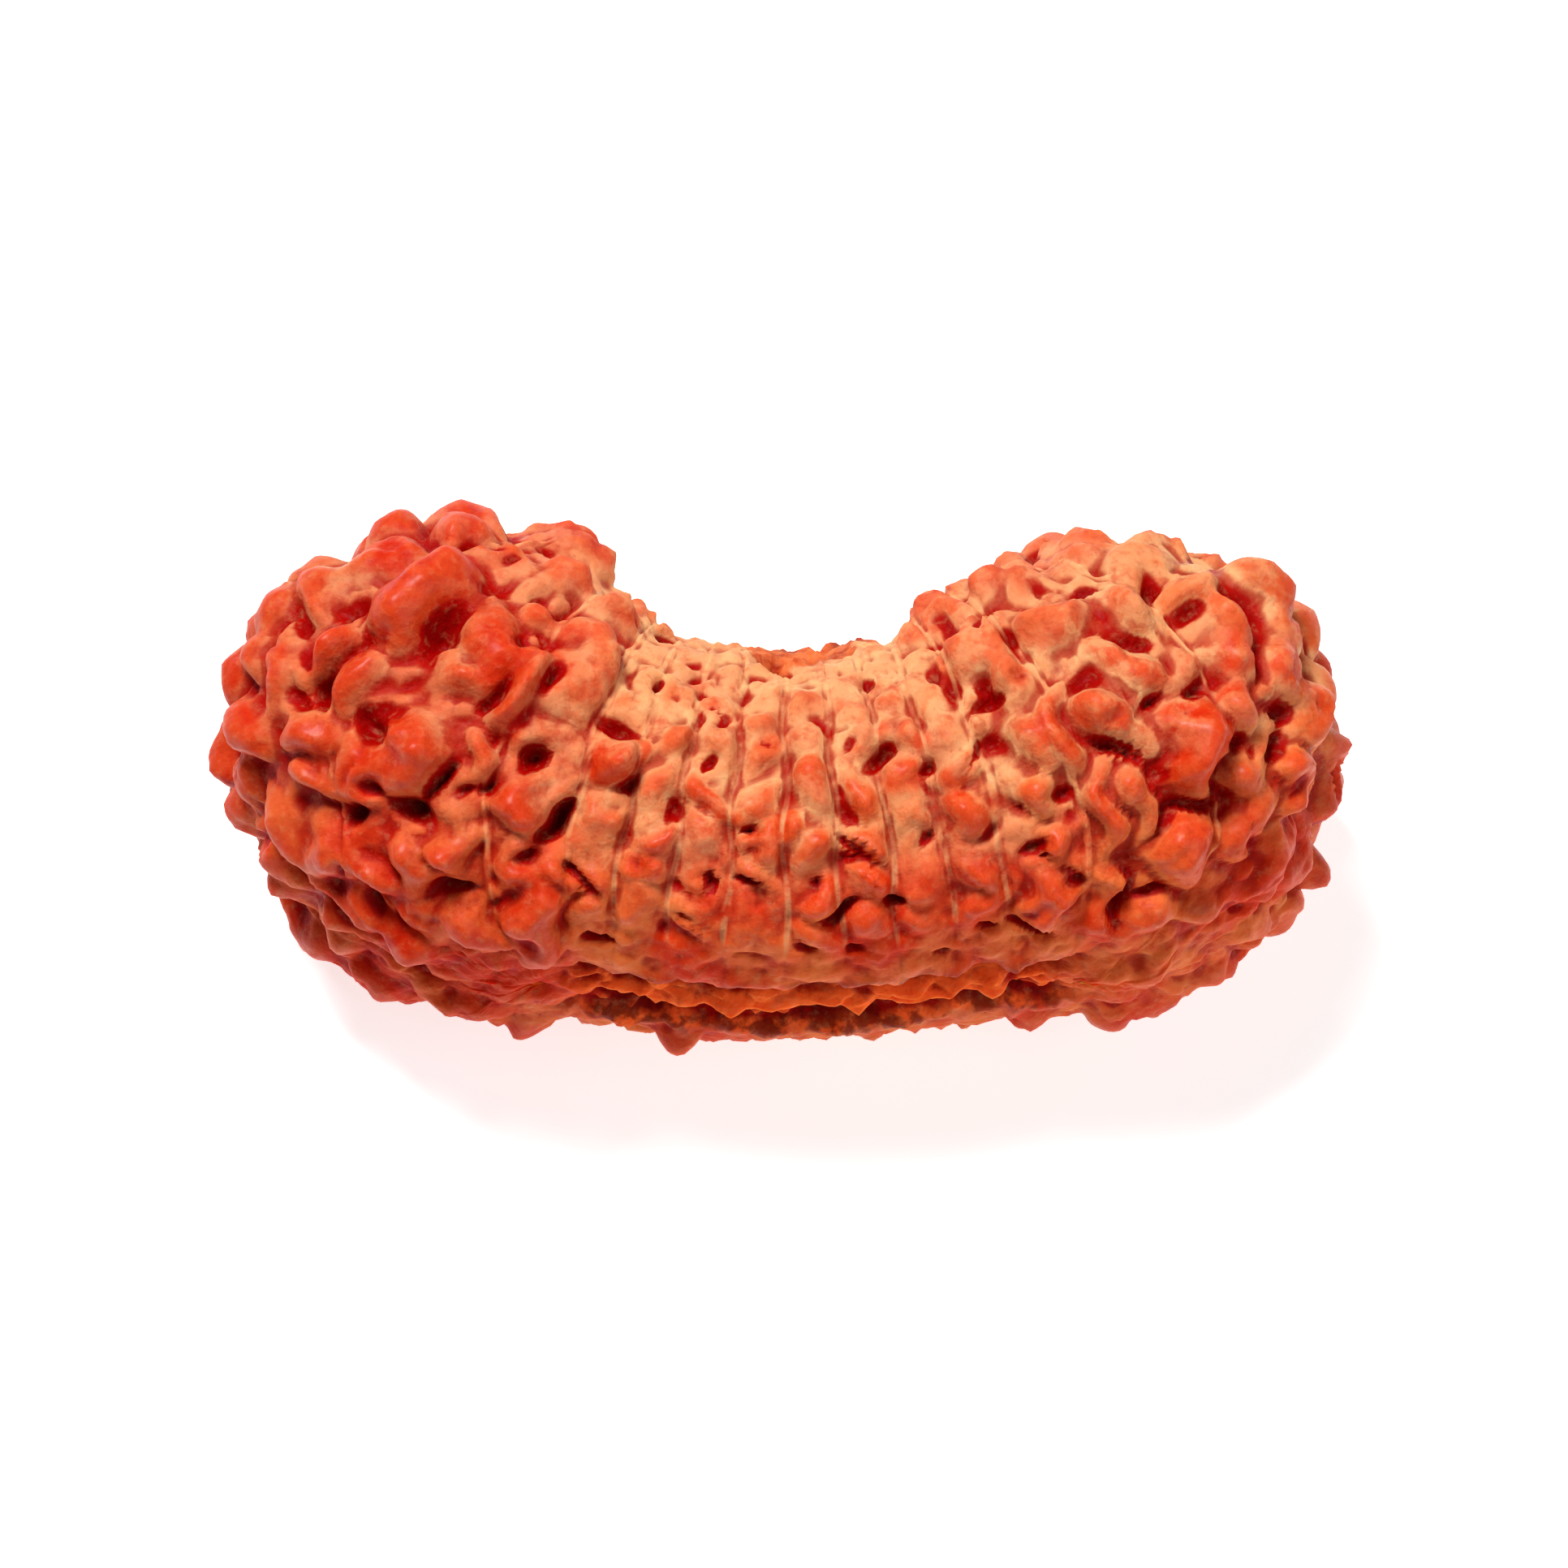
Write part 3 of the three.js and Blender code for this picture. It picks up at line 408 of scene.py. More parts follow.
def strew(kind):  # small bumps anywhere, from a draw that is seeded by their kind and number
    shape = beadRelief
    count, smallest, largest, height, seed = kind
    number = np.arange(count)
    draw = [scatter(number, seed + key) for key in range(6)]
    around = 2 * halfRound * draw[0]
    rise = np.arcsin(mix(*shape["strewRise"], draw[1]))
    along, up, out = bodyFrame(around, rise)
    angle = (math.pi * draw[2])[:, None]
    size = mix(smallest, largest, draw[3] ** 2)
    height = height * mix(*shape["strewHeight"], draw[4]) * size / largest
    direction = np.cos(angle) * along + np.sin(angle) * up
    return makeBumps(around, rise, direction, size * mix(*shape["strewStretch"], draw[5]), size, height)


def sowKnobs(named):  # rows of knobs on every face, one row on a narrow rib and more on a wide face
    shape = beadRelief
    reachAngle = math.radians(shape["knobReach"])
    sown = []
    for face, line in enumerate(lines):
        width = edges[face + 2] - line
        rowsAcross = max(1, round(width / shape["knobCell"]))
        cell = width / rowsAcross
        rib = cell < beadForm["narrowFace"]
        kind = shape["ribRow"] if rib else shape["wideRow"]
        for row in range(rowsAcross):
            middle = line + cell * (row + 0.5)
            endX, endZ = equatorPoint(middle)
            reach = math.hypot(endX - polePlace(endX, True), endZ) + shape["faceReach"]
            reach += shape["lobeReach"] if abs(endX) > shape["lobeBeyond"] else 0
            length = quarter * reach * shape["knobReach"] / 90
            count = round(length / kind["step"])
            i = np.arange(count)
            a, b, c, d = [scatter(face, row, i, key) for key in (1, 2, 3, 4)]
            share = (i + 0.5 + shape["alongJitter"] * (a - 0.5) + 0.5 * (row % 2)) / count
            rise = mix(-reachAngle, reachAngle, share)
            around = middle + (b - 0.5) * shape["acrossJitter"] * cell
            along, up, out = bodyFrame(around, rise)
            angle = ((c - 0.5) * kind["turn"])[:, None]
            halfLength = cell * (kind["length"] * (kind["lengthBase"] + kind["lengthVary"] * d))
            halfWidth = kind["step"] * (shape["widthBase"] + shape["widthVary"] * a)
            height = kind["height"] * (shape["heightBase"] + shape["heightVary"] * b)
            height = height * fade(kind["saddleFade"], rise) * fade(kind["steepFade"], np.abs(rise))
            free = ~taken(bodyPoint(around, rise), named)
            direction = np.cos(angle) * along + np.sin(angle) * up
            bumps = makeBumps(around, rise, direction, halfLength, halfWidth, height)
            sown.append({key: value[free] for key, value in bumps.items()})
    return {key: np.concatenate([bumps[key] for bumps in sown]) for key in sown[0]}


def spread(bumps, share):
    return {**bumps, "halfLength": bumps["halfLength"] * share, "halfWidth": bumps["halfWidth"] * share}


def bumpHeight(points, bumps, softness, blend):  # power sum of each height (1 - r^roundness)^softness
    thickness = beadRelief["bumpThickness"]
    total = np.zeros(len(points))
    for i in range(len(bumps["height"])):
        offset = points - bumps["centre"][i]
        reach = max(bumps["halfLength"][i], bumps["halfWidth"][i])
        near = np.flatnonzero(np.sum(offset * offset, -1) < reach ** 2 + thickness ** 2)
        offset = offset[near]
        r2 = (offset @ bumps["axis"][i] / bumps["halfLength"][i]) ** 2
        r2 += (offset @ bumps["cross"][i] / bumps["halfWidth"][i]) ** 2
        r2 += (offset @ bumps["out"][i] / thickness) ** 2
        profile = np.clip(1 - r2 ** (bumps["roundness"][i] / 2), 0, 1) ** softness
        total[near] += (bumps["height"][i] * profile) ** blend
    return total ** (1 / blend)


def cloud(points, size, key):  # -1 to 1: scattered values at a cube grid's corners, blended smoothly
    cell = points / size
    corner = np.floor(cell)
    t = cell - corner
    t = t * t * (3 - 2 * t)
    total = np.zeros(len(points))
    for dx in (0, 1):
        for dy in (0, 1):
            for dz in (0, 1):
                i, j, k = (corner + (dx, dy, dz)).T
                weight = np.abs(1 - dx - t[:, 0]) * np.abs(1 - dy - t[:, 1]) * np.abs(1 - dz - t[:, 2])
                total += weight * scatter(i, j, k, key)
    return 2 * total - 1


def warped(points):  # sines of the other coordinates and two sizes of cloud bend the knobs out of round
    x, y, z = points.T
    waves = [a * x + b * y + c * z + shift for a, b, c, shift in beadRelief["warpWaves"]]
    bend = beadRelief["warp"] * np.sin(np.stack(waves, -1))
    for size, amount in beadRelief["crumple"]:
        clouds = [cloud(points, size, key) for key in beadRelief["seeds"]["warp"]]
        bend = bend + amount * np.stack(clouds, -1)
    return points + bend


def beadColumns():  # each face is split by one rule, closer beside its lines; the back mirrors the front
    widths = np.array(beadForm["faceWidths"])
    widths = widths * halfRound / widths.sum()
    starts = np.cumsum(widths) - widths
    front = []
    for start, width in zip(starts, widths):
        count = math.ceil(width / beadForm["columnStep"])
        share = np.arange(count) / count
        crowded = share - beadForm["columnCrowding"] * np.sin(2 * math.pi * share) / (2 * math.pi)
        front.append(start + width * crowded)
    front = np.concatenate(front)
    return np.concatenate([front, [halfRound], 2 * halfRound - front[:0:-1]])


def lineField(around, points, flat):
    # distance from the nearest suture line, which wanders by a sine, and how narrow the face is
    shape = beadRelief
    waveX, waveY = shape["lineWaves"]
    wander = shape["lineWander"] * np.sin(waveY * points[:, 1] + waveX * points[:, 0]) * flat
    place = np.mod(around + wander, 2 * halfRound)
    right = np.searchsorted(edges, place, side="right")
    width = edges[right] - edges[right - 1]
    share = (place - edges[right - 1]) / width
    fromLine = np.minimum(share, 1 - share) * width * mix(shape["lineAtPole"], 1, flat)
    narrow = 1 - smooth(beadForm["narrowFace"], beadForm["wideFace"], width)
    return fromLine, np.abs(2 * share - 1), narrow


def faceSwell(rise, flat, offMiddle, narrow, clear):  # crowned faces, highest on the waist's ribs
    shape = beadRelief
    ribs = shape["ribSwell"] * fade(shape["swellSaddleFade"], rise)
    ribs = ribs * fade(shape["swellFurrowFade"], -rise)
    swell = mix(shape["faceSwell"], ribs, narrow) * (1 - offMiddle ** shape["swellPower"])
    return swell * np.sqrt(flat) * mix(shape["swellOnLine"], 1, clear)


def hollowDepth(points):  # of the named pits, the ribs' pits and the strewn holes
    shape = beadRelief
    soft, blend = shape["pitSoftness"], shape["pitBlend"]
    lobes = bumpHeight(points, spread(namedBumps(pits), shape["pitSpread"]), soft, blend)
    ribs = bumpHeight(points, namedBumps(ribPits), shape["ribPitSoftness"], blend)
    holes = bumpHeight(points, strew(shape["holes"]), soft, blend)
    return shape["pitDepth"] * lobes + shape["ribPitDepth"] * ribs + holes


def lineRelief(fromLine, flat, big):  # a thread on each line, and a groove along both its sides
    shape = beadRelief
    shown = smooth(*shape["linesShown"], flat)
    thread = np.exp(-(fromLine / shape["threadWidth"]) ** 2)
    thread = thread * (1 - smooth(*shape["threadHidden"], big)) * shown
    groove = np.exp(-((fromLine - shape["groovePlace"]) / shape["grooveWidth"]) ** 2)
    groove = groove * (1 - smooth(*shape["grooveHidden"], big)) * shown
    return thread, groove


def furrowTrough(height, points, toFurrow, endX, offMiddle):
    # beyond the scalloped edge the relief gives way to a trough with a fibrous ridge along its middle
    furrow = beadRelief["furrow"]
    pastFurrow = np.abs(polePlace(endX, False) - furrow["middle"])
    inFurrow = 1 - smooth(furrow["half"], furrow["half"] + furrow["fade"], pastFurrow)
    edge = furrow["width"] + furrow["scallop"] * (1 - offMiddle ** 2)
    low, high = furrow["ribEnd"]
    ribEnd = smooth(edge + low, edge + high, toFurrow)
    # the band just under the rib ends, where a shadow is painted
    ribEndShadow = inFurrow * (1 - smooth(*furrow["ribEndShadow"], np.abs(toFurrow - edge + furrow["ribEndShadowMiddle"])))
    stretched = points * furrow["stretch"]
    seeds = beadRelief["seeds"]["fibres"]
    coarse, fine = [cloud(stretched, size, key) for size, key in zip(furrow["fibreSizes"], seeds)]
    fibres = coarse + furrow["fineShare"] * fine
    low, high = furrow["wall"]
    trough = furrow["ridge"] * (1 - smooth(*furrow["ridgeSide"], toFurrow))
    trough = trough - furrow["depth"] * (1 - smooth(edge + low, edge + high, toFurrow))
    trough = trough + beadRelief["fibreRoughness"] * fibres * (1 - ribEnd)
    fibre = inFurrow * (1 - ribEnd)
    return height * (1 - fibre) + trough * inFurrow, inFurrow, fibre, ribEndShadow


def scarPatch(height, points, toScar, endX):  # a low even patch with a ragged fibrous rim
    scar = beadRelief["scar"]
    rimSeed, fibreSeed = beadRelief["seeds"]["scar"]
    pastScar = polePlace(endX, True) - scar["middle"]
    inScar = 1 - smooth(scar["half"], scar["half"] + scar["fade"], np.abs(pastScar))
    reach = np.hypot(pastScar / scar["acrossReach"], toScar / scar["upReach"])
    bast = 1 - smooth(*scar["rim"], reach + scar["ragged"] * cloud(points, scar["raggedSize"], rimSeed))
    patch = 1 - smooth(*scar["patch"], toScar)
    fibres = scar["fibreShare"] * beadRelief["fibreRoughness"]
    fibres = fibres * cloud(points, scar["fibreSize"], fibreSeed)
    height = height * (1 - inScar * patch) + scar["rise"] * patch * inScar + fibres * bast
    return height, inScar, bast


def fineRelief(height, points, bent, knobs, clear):  # with wax, grain and folded creases
    shape = beadRelief
    seeds = shape["seeds"]
    coarse, fine = [cloud(points, size, key) for size, key in zip(shape["waxSizes"], seeds["wax"])]
    wax = coarse + shape["fineShare"] * fine
    wax = wax * mix(*shape["waxShares"], smooth(*shape["waxOnKnobs"], knobs))
    grain = cloud(points, shape["grainSize"], seeds["grain"])
    folds = np.abs(cloud(bent, shape["creaseSize"], seeds["crease"]))
    fineFolds = np.abs(cloud(bent, shape["fineCreaseSize"] * shape["creaseSize"], seeds["fineCrease"]))
    crease = smooth(0, shape["creaseWidth"], folds) - 1
    crease = crease + shape["fineShare"] * smooth(0, shape["fineCreaseWidth"], fineFolds)
    crease = crease - shape["fineShare"]
    height = height + shape["waxRoughness"] * wax + shape["grain"] * grain
    return height + shape["crease"] * crease * clear


def beadSurface():
    # out from the body by: knobs + swell - pits + lines, then the furrow, the scar and the fine relief
    shape = beadRelief
    columns = beadColumns()
    t = np.linspace(0, 1, beadForm["rows"] + 1)
    rows = mix(-quarter, quarter, t ** beadForm["rowCrowding"])
    around, rise = [grid.ravel() for grid in np.meshgrid(columns, rows, indexing="ij")]
    points = bodyPoint(around, rise)
    out = bodyFrame(around, rise)[2]
    named = namedBumps(bigKnobs)
    sown = sowKnobs(named)
    print("relief: %d named knobs, %d sown" % (len(named["height"]), len(sown["height"])))

    flat = np.maximum(np.cos(rise), 0)
    fromLine, offMiddle, narrow = lineField(around, points, flat)
    clear = smooth(shape["lineEdge"], shape["lineGap"], fromLine)
    onLine = mix(shape["knobsOnLine"], 1, clear)
    bent = warped(points)
    small = bumpHeight(bent, sown, shape["softness"], shape["knobBlend"]) * onLine
    wide = spread(named, shape["namedSpread"])
    big = shape["namedRise"] * bumpHeight(bent, wide, shape["softness"], shape["knobBlend"])
    pebbles = bumpHeight(bent, strew(shape["pebbles"]), shape["pebbleSoftness"], shape["pebbleBlend"])
    pebbles = pebbles * onLine * mix(1, shape["pebblesOnRibs"], narrow)
    hollows = hollowDepth(bent)
    thread, groove = lineRelief(fromLine, flat, big)
    power = shape["layerBlend"]
    height = (small ** power + big ** power + pebbles ** power + shape["level"] ** power) ** (1 / power)
    height = height + faceSwell(rise, flat, offMiddle, narrow, clear) - hollows
    height = height + shape["threadHeight"] * thread - shape["grooveDepth"] * groove

    endX, endZ = equatorPoint(around)
    girthShare, girthLeast = shape["girth"]
    girth = girthShare * np.hypot(endZ, girthLeast)
    toFurrow = (rise + quarter) * girth
    toScar = (quarter - rise) * girth
    height, inFurrow, fibre, ribEndShadow = furrowTrough(height, points, toFurrow, endX, offMiddle)
    height, inScar, bast = scarPatch(height, points, toScar, endX)
    seam = 1 - smooth(0, shape["seamWidth"], toFurrow)
    height = height * (1 - shape["seamFlat"] * (1 - inFurrow) * seam)
    seam = 1 - smooth(0, shape["seamWidth"], toScar)
    height = height * (1 - shape["seamFlat"] * (1 - inScar) * seam)
    height = fineRelief(height, points, bent, np.maximum(small, big), clear)

    facts = {
        "relief": height, "rise": rise, "narrow": narrow, "thread": thread, "pit": hollows,
        "knob": (small ** power + big ** power) ** (1 / power),
        "fibre": fibre, "ribEndShadow": ribEndShadow, "scar": bast,
    }
    points = points + out * height[:, None] + (*beadForm["centre"], beadForm["restHeight"])
    points[:, 2] = np.maximum(points[:, 2], 0)  # flats that it rests on
    return points, facts, len(columns), len(rows)


def gridBlur(values, columns, rows, rounds):  # repeated mean of the four neighbours
    grid = values.reshape(columns, rows)
    for _ in range(rounds):
        padded = np.pad(grid, ((0, 0), (1, 1)), mode="edge")
        grid = (np.roll(grid, 1, 0) + np.roll(grid, -1, 0) + padded[:, :-2] + padded[:, 2:]) / 4
    return grid.ravel()


def closedMesh(name, points, columns, rows, facts):  # front and back share the first and the last row
    number = np.arange(columns * rows).reshape(columns, rows)
    twins = (-np.arange(columns)) % columns
    first = np.minimum(np.arange(columns), twins)
    for row in (0, rows - 1):
        number[:, row] = number[first, row]
    a, b = number[:, :-1], np.roll(number, -1, 0)[:, :-1]
    c, d = np.roll(number, -1, 0)[:, 1:], number[:, 1:]
    quads = np.stack([a, b, c, d], -1).reshape(-1, 4)
    triangles = np.concatenate([quads[:, (0, 1, 2)], quads[:, (0, 2, 3)]])
    whole = (triangles[:, 0] != triangles[:, 1]) & (triangles[:, 1] != triangles[:, 2])
    triangles = triangles[whole & (triangles[:, 0] != triangles[:, 2])]
    used, packed = np.unique(triangles, return_inverse=True)
    triangles = packed.reshape(-1, 3)
    mesh = bpy.data.meshes.new(name)
    mesh.from_pydata(points[used] * millimetre, [], triangles)
    for key, values in facts.items():
        mesh.attributes.new(key, "FLOAT", "POINT").data.foreach_set("value", values[used])
    mesh.polygons.foreach_set("use_smooth", np.ones(len(triangles), bool))
    mesh.update()
    print("%s: %d triangles" % (name, len(triangles)))
    return mesh


class Signal:  # a number's socket, which sums can be written with
    def __init__(self, maker, socket):
        self.maker = maker
        self.socket = socket

    def __add__(self, other):
        return self.maker.sum("ADD", self, other)

    def __sub__(self, other):
        return self.maker.sum("SUBTRACT", self, other)

    def __rsub__(self, other):
        return self.maker.sum("SUBTRACT", other, self)

    def __mul__(self, other):
        return self.maker.sum("MULTIPLY", self, other)

    __radd__ = __add__
    __rmul__ = __mul__


class Maker:  # adds nodes to one material
    def __init__(self, name):
        self.material = bpy.data.materials.new(name)
        self.material.use_nodes = True
        self.tree = self.material.node_tree
        self.tree.nodes.clear()

    def add(self, kind, settings=None, sockets=None):
        node = self.tree.nodes.new(kind)
        for key, value in (settings or {}).items():
            setattr(node, key, value)
        for key, value in (sockets or {}).items():
            if isinstance(value, Signal):
                value = value.socket
            if isinstance(value, bpy.types.NodeSocket):
                self.tree.links.new(value, node.inputs[key])
            else:
                node.inputs[key].default_value = value
        return node

    def sum(self, operation, first, second):
        node = self.add("ShaderNodeMath", {"operation": operation}, {0: first, 1: second})
        return Signal(self, node.outputs[0])

    def between(self, low, high, value):  # smooth step from 0 at low to 1 at high
        settings = {"interpolation_type": "SMOOTHSTEP"}
        sockets = {"Value": value, "From Min": low, "From Max": high}
        return Signal(self, self.add("ShaderNodeMapRange", settings, sockets).outputs["Result"])

    def fact(self, name):
        return Signal(self, self.add("ShaderNodeAttribute", {"attribute_name": name}).outputs["Fac"])

    def noise(self, place, scale, detail, roughness):
        sockets = {"Vector": place, "Scale": scale, "Detail": detail, "Roughness": roughness}
        return Signal(self, self.add("ShaderNodeTexNoise", {}, sockets).outputs["Fac"])

    def blend(self, share, first, second):
        settings = {"data_type": "RGBA", "clamp_factor": True}
        node = self.add("ShaderNodeMix", settings, {0: share, 6: first, 7: second})
        return node.outputs[2]

    def finish(self, shader):
        output = self.add("ShaderNodeOutputMaterial")
        self.tree.links.new(shader.outputs["BSDF"], output.inputs["Surface"])
        return self.material


def colour(red, green, blue):  # 0 to 255 as seen, to the linear values that the shader wants
    return (*[(part / 255) ** 2.2 for part in (red, green, blue)], 1)


beadLook = {
    "wax": colour(198, 46, 12),
    "salmon": colour(214, 102, 52),
    "ember": colour(172, 24, 8),
    "rose": colour(206, 86, 72),
    "peach": colour(222, 164, 113),
    # crimson also serves the painted shade in pits, hollows, creases and the furrow
    "crimson": colour(156, 7, 2),
    # near black of the painted shade in the deepest pits
    "pitShade": colour(52, 1, 1),
    # dark red of the painted shadow under the rib ends
    "shadowRed": colour(96, 4, 2),
    "fibreDark": colour(150, 14, 4),
    "fibreLight": colour(244, 100, 42),
    "scarDark": colour(138, 20, 5),
    "scarLight": colour(212, 102, 54),
    "patches": (260, 3, 0.5),  # scale, detail and roughness of a noise
    "mottle": (900, 4, 0.6),
    "veins": (700, 4, 0.6),
    "flecks": (2600, 3, 0.6),
    "sway": {  # how far a noise moves a mask
        "dustedAndLit": 0.9, "high": 0.8, "crestHighlight": 0.3, "shade": 0.3, "creaseShade": 0.06, "scar": 1.2,
        "dry": 0.6, "roughness": 0.3, "coat": 0.5,
    },
    "warm": (0.36, 0.64),  # values where a mask starts and where it is full
    "dustedAndLit": (0.2, 0.9),
    "dustAndLightShare": 0.3,
    "ribKnobs": 0.7,  # how much more the low knobs of the ribs count
    "knobShares": (0.65, 0.25, 0.4),  # base, more towards the left end, less where dusted and lit
    "leftEndEmber": 0.42,
    "hollowShade": 0.7,
    "foldShade": 0.8,
    "lineInHollow": (-0.6, 0.1),
    "lineBroken": (0.35, 0.6),
    "strand": (0.3, 0.62),
    # fibres darker in hollows: painted shade
    "strandShadeInHollow": 0.7,
    "scarMark": (0.4, 0.6),
    "crust": (0.36, 0.62),
    "crustShare": 0.9,
    "dry": (0.2, 0.9),
    "roughness": 0.48,
    "powderRoughness": 0.7,
    "fineMottle": 0.7,
    "bumpStrength": 0.5,
    "bumpDistance": 0.00018,  # metres
    "subsurface": 0.35,
    "subsurfaceRadius": (1.0, 0.1, 0.04),
    "subsurfaceScale": 0.0009,
    "specular": 0.05,
    "coat": 0.2,
    "coatRoughness": 0.32,
    "coated": (0.1, 0.4),
}

beadLayers = {  # colour, values where the layer starts and where it is full, and its strength
    "veins": ("peach", 0.47, 0.6, 1),
    "ground": ("peach", 1.05, 0.4, 0.75),
    "knob": ("wax", 0.5, 1.2, 1),
    "blotches": ("ember", 0.5, 0.3, 0.6),
    # painted highlight on the convex crests
    "crestHighlight": ("salmon", 0.03, 0.14, 0.2),
    "blush": ("rose", 0.4, 0.62, 0.6),
    # painted shade in the pits and hollows
    "deepShade": ("crimson", 0.18, 0.5, 0.95),
    "deepestShade": ("pitShade", 0.48, 0.95, 1),
    # painted shade in the creases
    "creaseShade": ("crimson", 0, 0.13, 0.75),
    "paleLine": ("peach", 0.35, 0.9, 0.65),
    # painted shade in the furrow's hollows
    "furrowShade": ("crimson", 0.05, 0.3, 0.7),
    # painted shadow under the rib ends
    "ribEndShadow": ("shadowRed", 0.42, 0.56, 0.8),
    "paleFlecks": ("peach", 0.5, 0.75, 0.15),
    "redFlecks": ("crimson", 0.48, 0.28, 0.3),
}


def waxyStone():
    look = beadLook
    sway = look["sway"]
    maker = Maker("waxy stone")
    place = maker.add("ShaderNodeTexCoord").outputs["Object"]
    patches, mottle, veins, flecks = [
        maker.noise(place, *look[key]) for key in ("patches", "mottle", "veins", "flecks")
    ]
    hollow, fold, dustAndLight, fibre, leftEndShare, pallor = [
        maker.fact(name) for name in ("hollow", "fold", "dustAndLight", "fibre", "leftEndShare", "pallor")
    ]

    def lay(skin, layer, value, share=1):  # one colour over the skin where the value passes its limits
        tint, start, full, strength = beadLayers[layer]
        return maker.blend(maker.between(start, full, value) * share * strength, skin, look[tint])

    # red wax on the knobs, pale dry ground between them, pale dust that is partly painted light, a
    # darker left end and painted highlights on the crests
    skin = maker.blend(maker.between(*look["warm"], patches), look["wax"], look["salmon"])
    skin = lay(skin, "veins", veins, pallor)
    # pale dust, partly painted light: paler towards the saddle's side and on open ribs, none in hollows
    dustedAndLit = maker.between(*look["dustedAndLit"], dustAndLight + (veins - 0.5) * sway["dustedAndLit"])
    skin = maker.blend(dustedAndLit * look["dustAndLightShare"], skin, look["peach"])
    high = maker.fact("knob") * (maker.fact("narrow") * look["ribKnobs"] + 1)
    high = high + (mottle - 0.5) * sway["high"]
    skin = lay(skin, "ground", high, pallor)
    base, moreAtLeftEnd, whereDustedAndLit = look["knobShares"]
    skin = lay(skin, "knob", high, leftEndShare * moreAtLeftEnd + base - dustedAndLit * whereDustedAndLit)
    skin = lay(skin, "blotches", mottle)
    # darker and redder towards the left end
    skin = maker.blend(leftEndShare * look["leftEndEmber"], skin, look["ember"])
    # painted highlight: lighter salmon on the convex crests
    skin = lay(skin, "crestHighlight", fold * -1 + (veins - 0.5) * sway["crestHighlight"])
    skin = lay(skin, "blush", veins, maker.fact("blush"))

    # painted shade: crimson and near black in the pits, hollows and creases, and pale threads on the
    # lines
    shade = maker.fact("pit") + hollow * look["hollowShade"] + fold * look["foldShade"]
    shade = shade + (flecks - 0.5) * sway["shade"] + (mottle - 0.5) * sway["shade"]
    skin = lay(skin, "deepShade", shade)
    skin = lay(skin, "deepestShade", shade)
    # painted shade in the creases
    skin = lay(skin, "creaseShade", fold + (flecks - 0.5) * sway["creaseShade"])
    shown = maker.between(*look["lineInHollow"], hollow * -1)
    shown = shown * maker.between(*look["lineBroken"], mottle)
    skin = lay(skin, "paleLine", maker.fact("thread"), shown)

    # fibres in the furrow, with painted shade in its hollows and a painted shadow under the rib ends,
    # and the crust of the scar
    # the fibres are darker in hollows: painted shade
    strand = maker.between(*look["strand"], veins - hollow * look["strandShadeInHollow"])
    skin = maker.blend(fibre, skin, maker.blend(strand, look["fibreDark"], look["fibreLight"]))
    # painted shade: crimson in the furrow's hollows
    skin = lay(skin, "furrowShade", hollow, fibre)
    # painted shadow: a broken dark band just under the rib ends
    skin = lay(skin, "ribEndShadow", mottle, maker.fact("ribEndShadow"))
    scarMark = maker.between(*look["scarMark"], maker.fact("scar") + (mottle - 0.5) * sway["scar"])
    crust = maker.blend(maker.between(*look["crust"], veins), look["scarDark"], look["scarLight"])
    skin = maker.blend(scarMark * look["crustShare"], skin, crust)
    skin = lay(skin, "paleFlecks", flecks)
    skin = lay(skin, "redFlecks", flecks)

    dry = maker.between(*look["dry"], dustAndLight + fibre + (flecks - 0.5) * sway["dry"])
    roughness = dry * (look["powderRoughness"] - look["roughness"]) + look["roughness"]
    roughness = roughness + (mottle - 0.5) * sway["roughness"]
    coated = maker.between(*look["coated"], hollow * -1 + (veins - 0.5) * sway["coat"])
    bump = maker.add("ShaderNodeBump", {}, {
        "Strength": look["bumpStrength"], "Distance": look["bumpDistance"],
        "Height": flecks + mottle * look["fineMottle"],
    })
    shader = maker.add("ShaderNodeBsdfPrincipled", {}, {
        "Base Color": skin, "Roughness": roughness, "Normal": bump.outputs["Normal"],
        "Coat Weight": coated * (1 - dry) * look["coat"], "Coat Roughness": look["coatRoughness"],
        "Specular IOR Level": look["specular"], "Subsurface Weight": look["subsurface"],
        "Subsurface Radius": look["subsurfaceRadius"], "Subsurface Scale": look["subsurfaceScale"],
    })
    print("material: waxy stone")
    return maker.finish(shader)


beadZones = {  # angles are rises in degrees, other limits are millimetres from the bead's centre
    "hollowRounds": 60,  # of blur, for the wide surroundings and for the near ones
    "foldRounds": 8,
    "lit": (-26, 30),  # pale dust and painted light on the ribs
    "litFade": (52, 72, 0.7),
    "paleLeft": (-19, -4),  # pale dust and painted light between the lobes' ends
    "paleRight": (16, 22),
    "paleRise": (-42, 14),
    "paleShare": 0.85,
    "clearInHollows": (0.05, 0.4),  # depths below the surroundings, over which the dust and painted light fade out
    "leftEndShare": (4, 11),  # towards the left end
    "pallor": 0.8,
    "leftEndPallor": 0.15,  # share that the left end's darkening takes off it
    "pallorRise": (-55, 0),
    "blushRise": (20, 50),
    "blushOut": (5, 9),
}


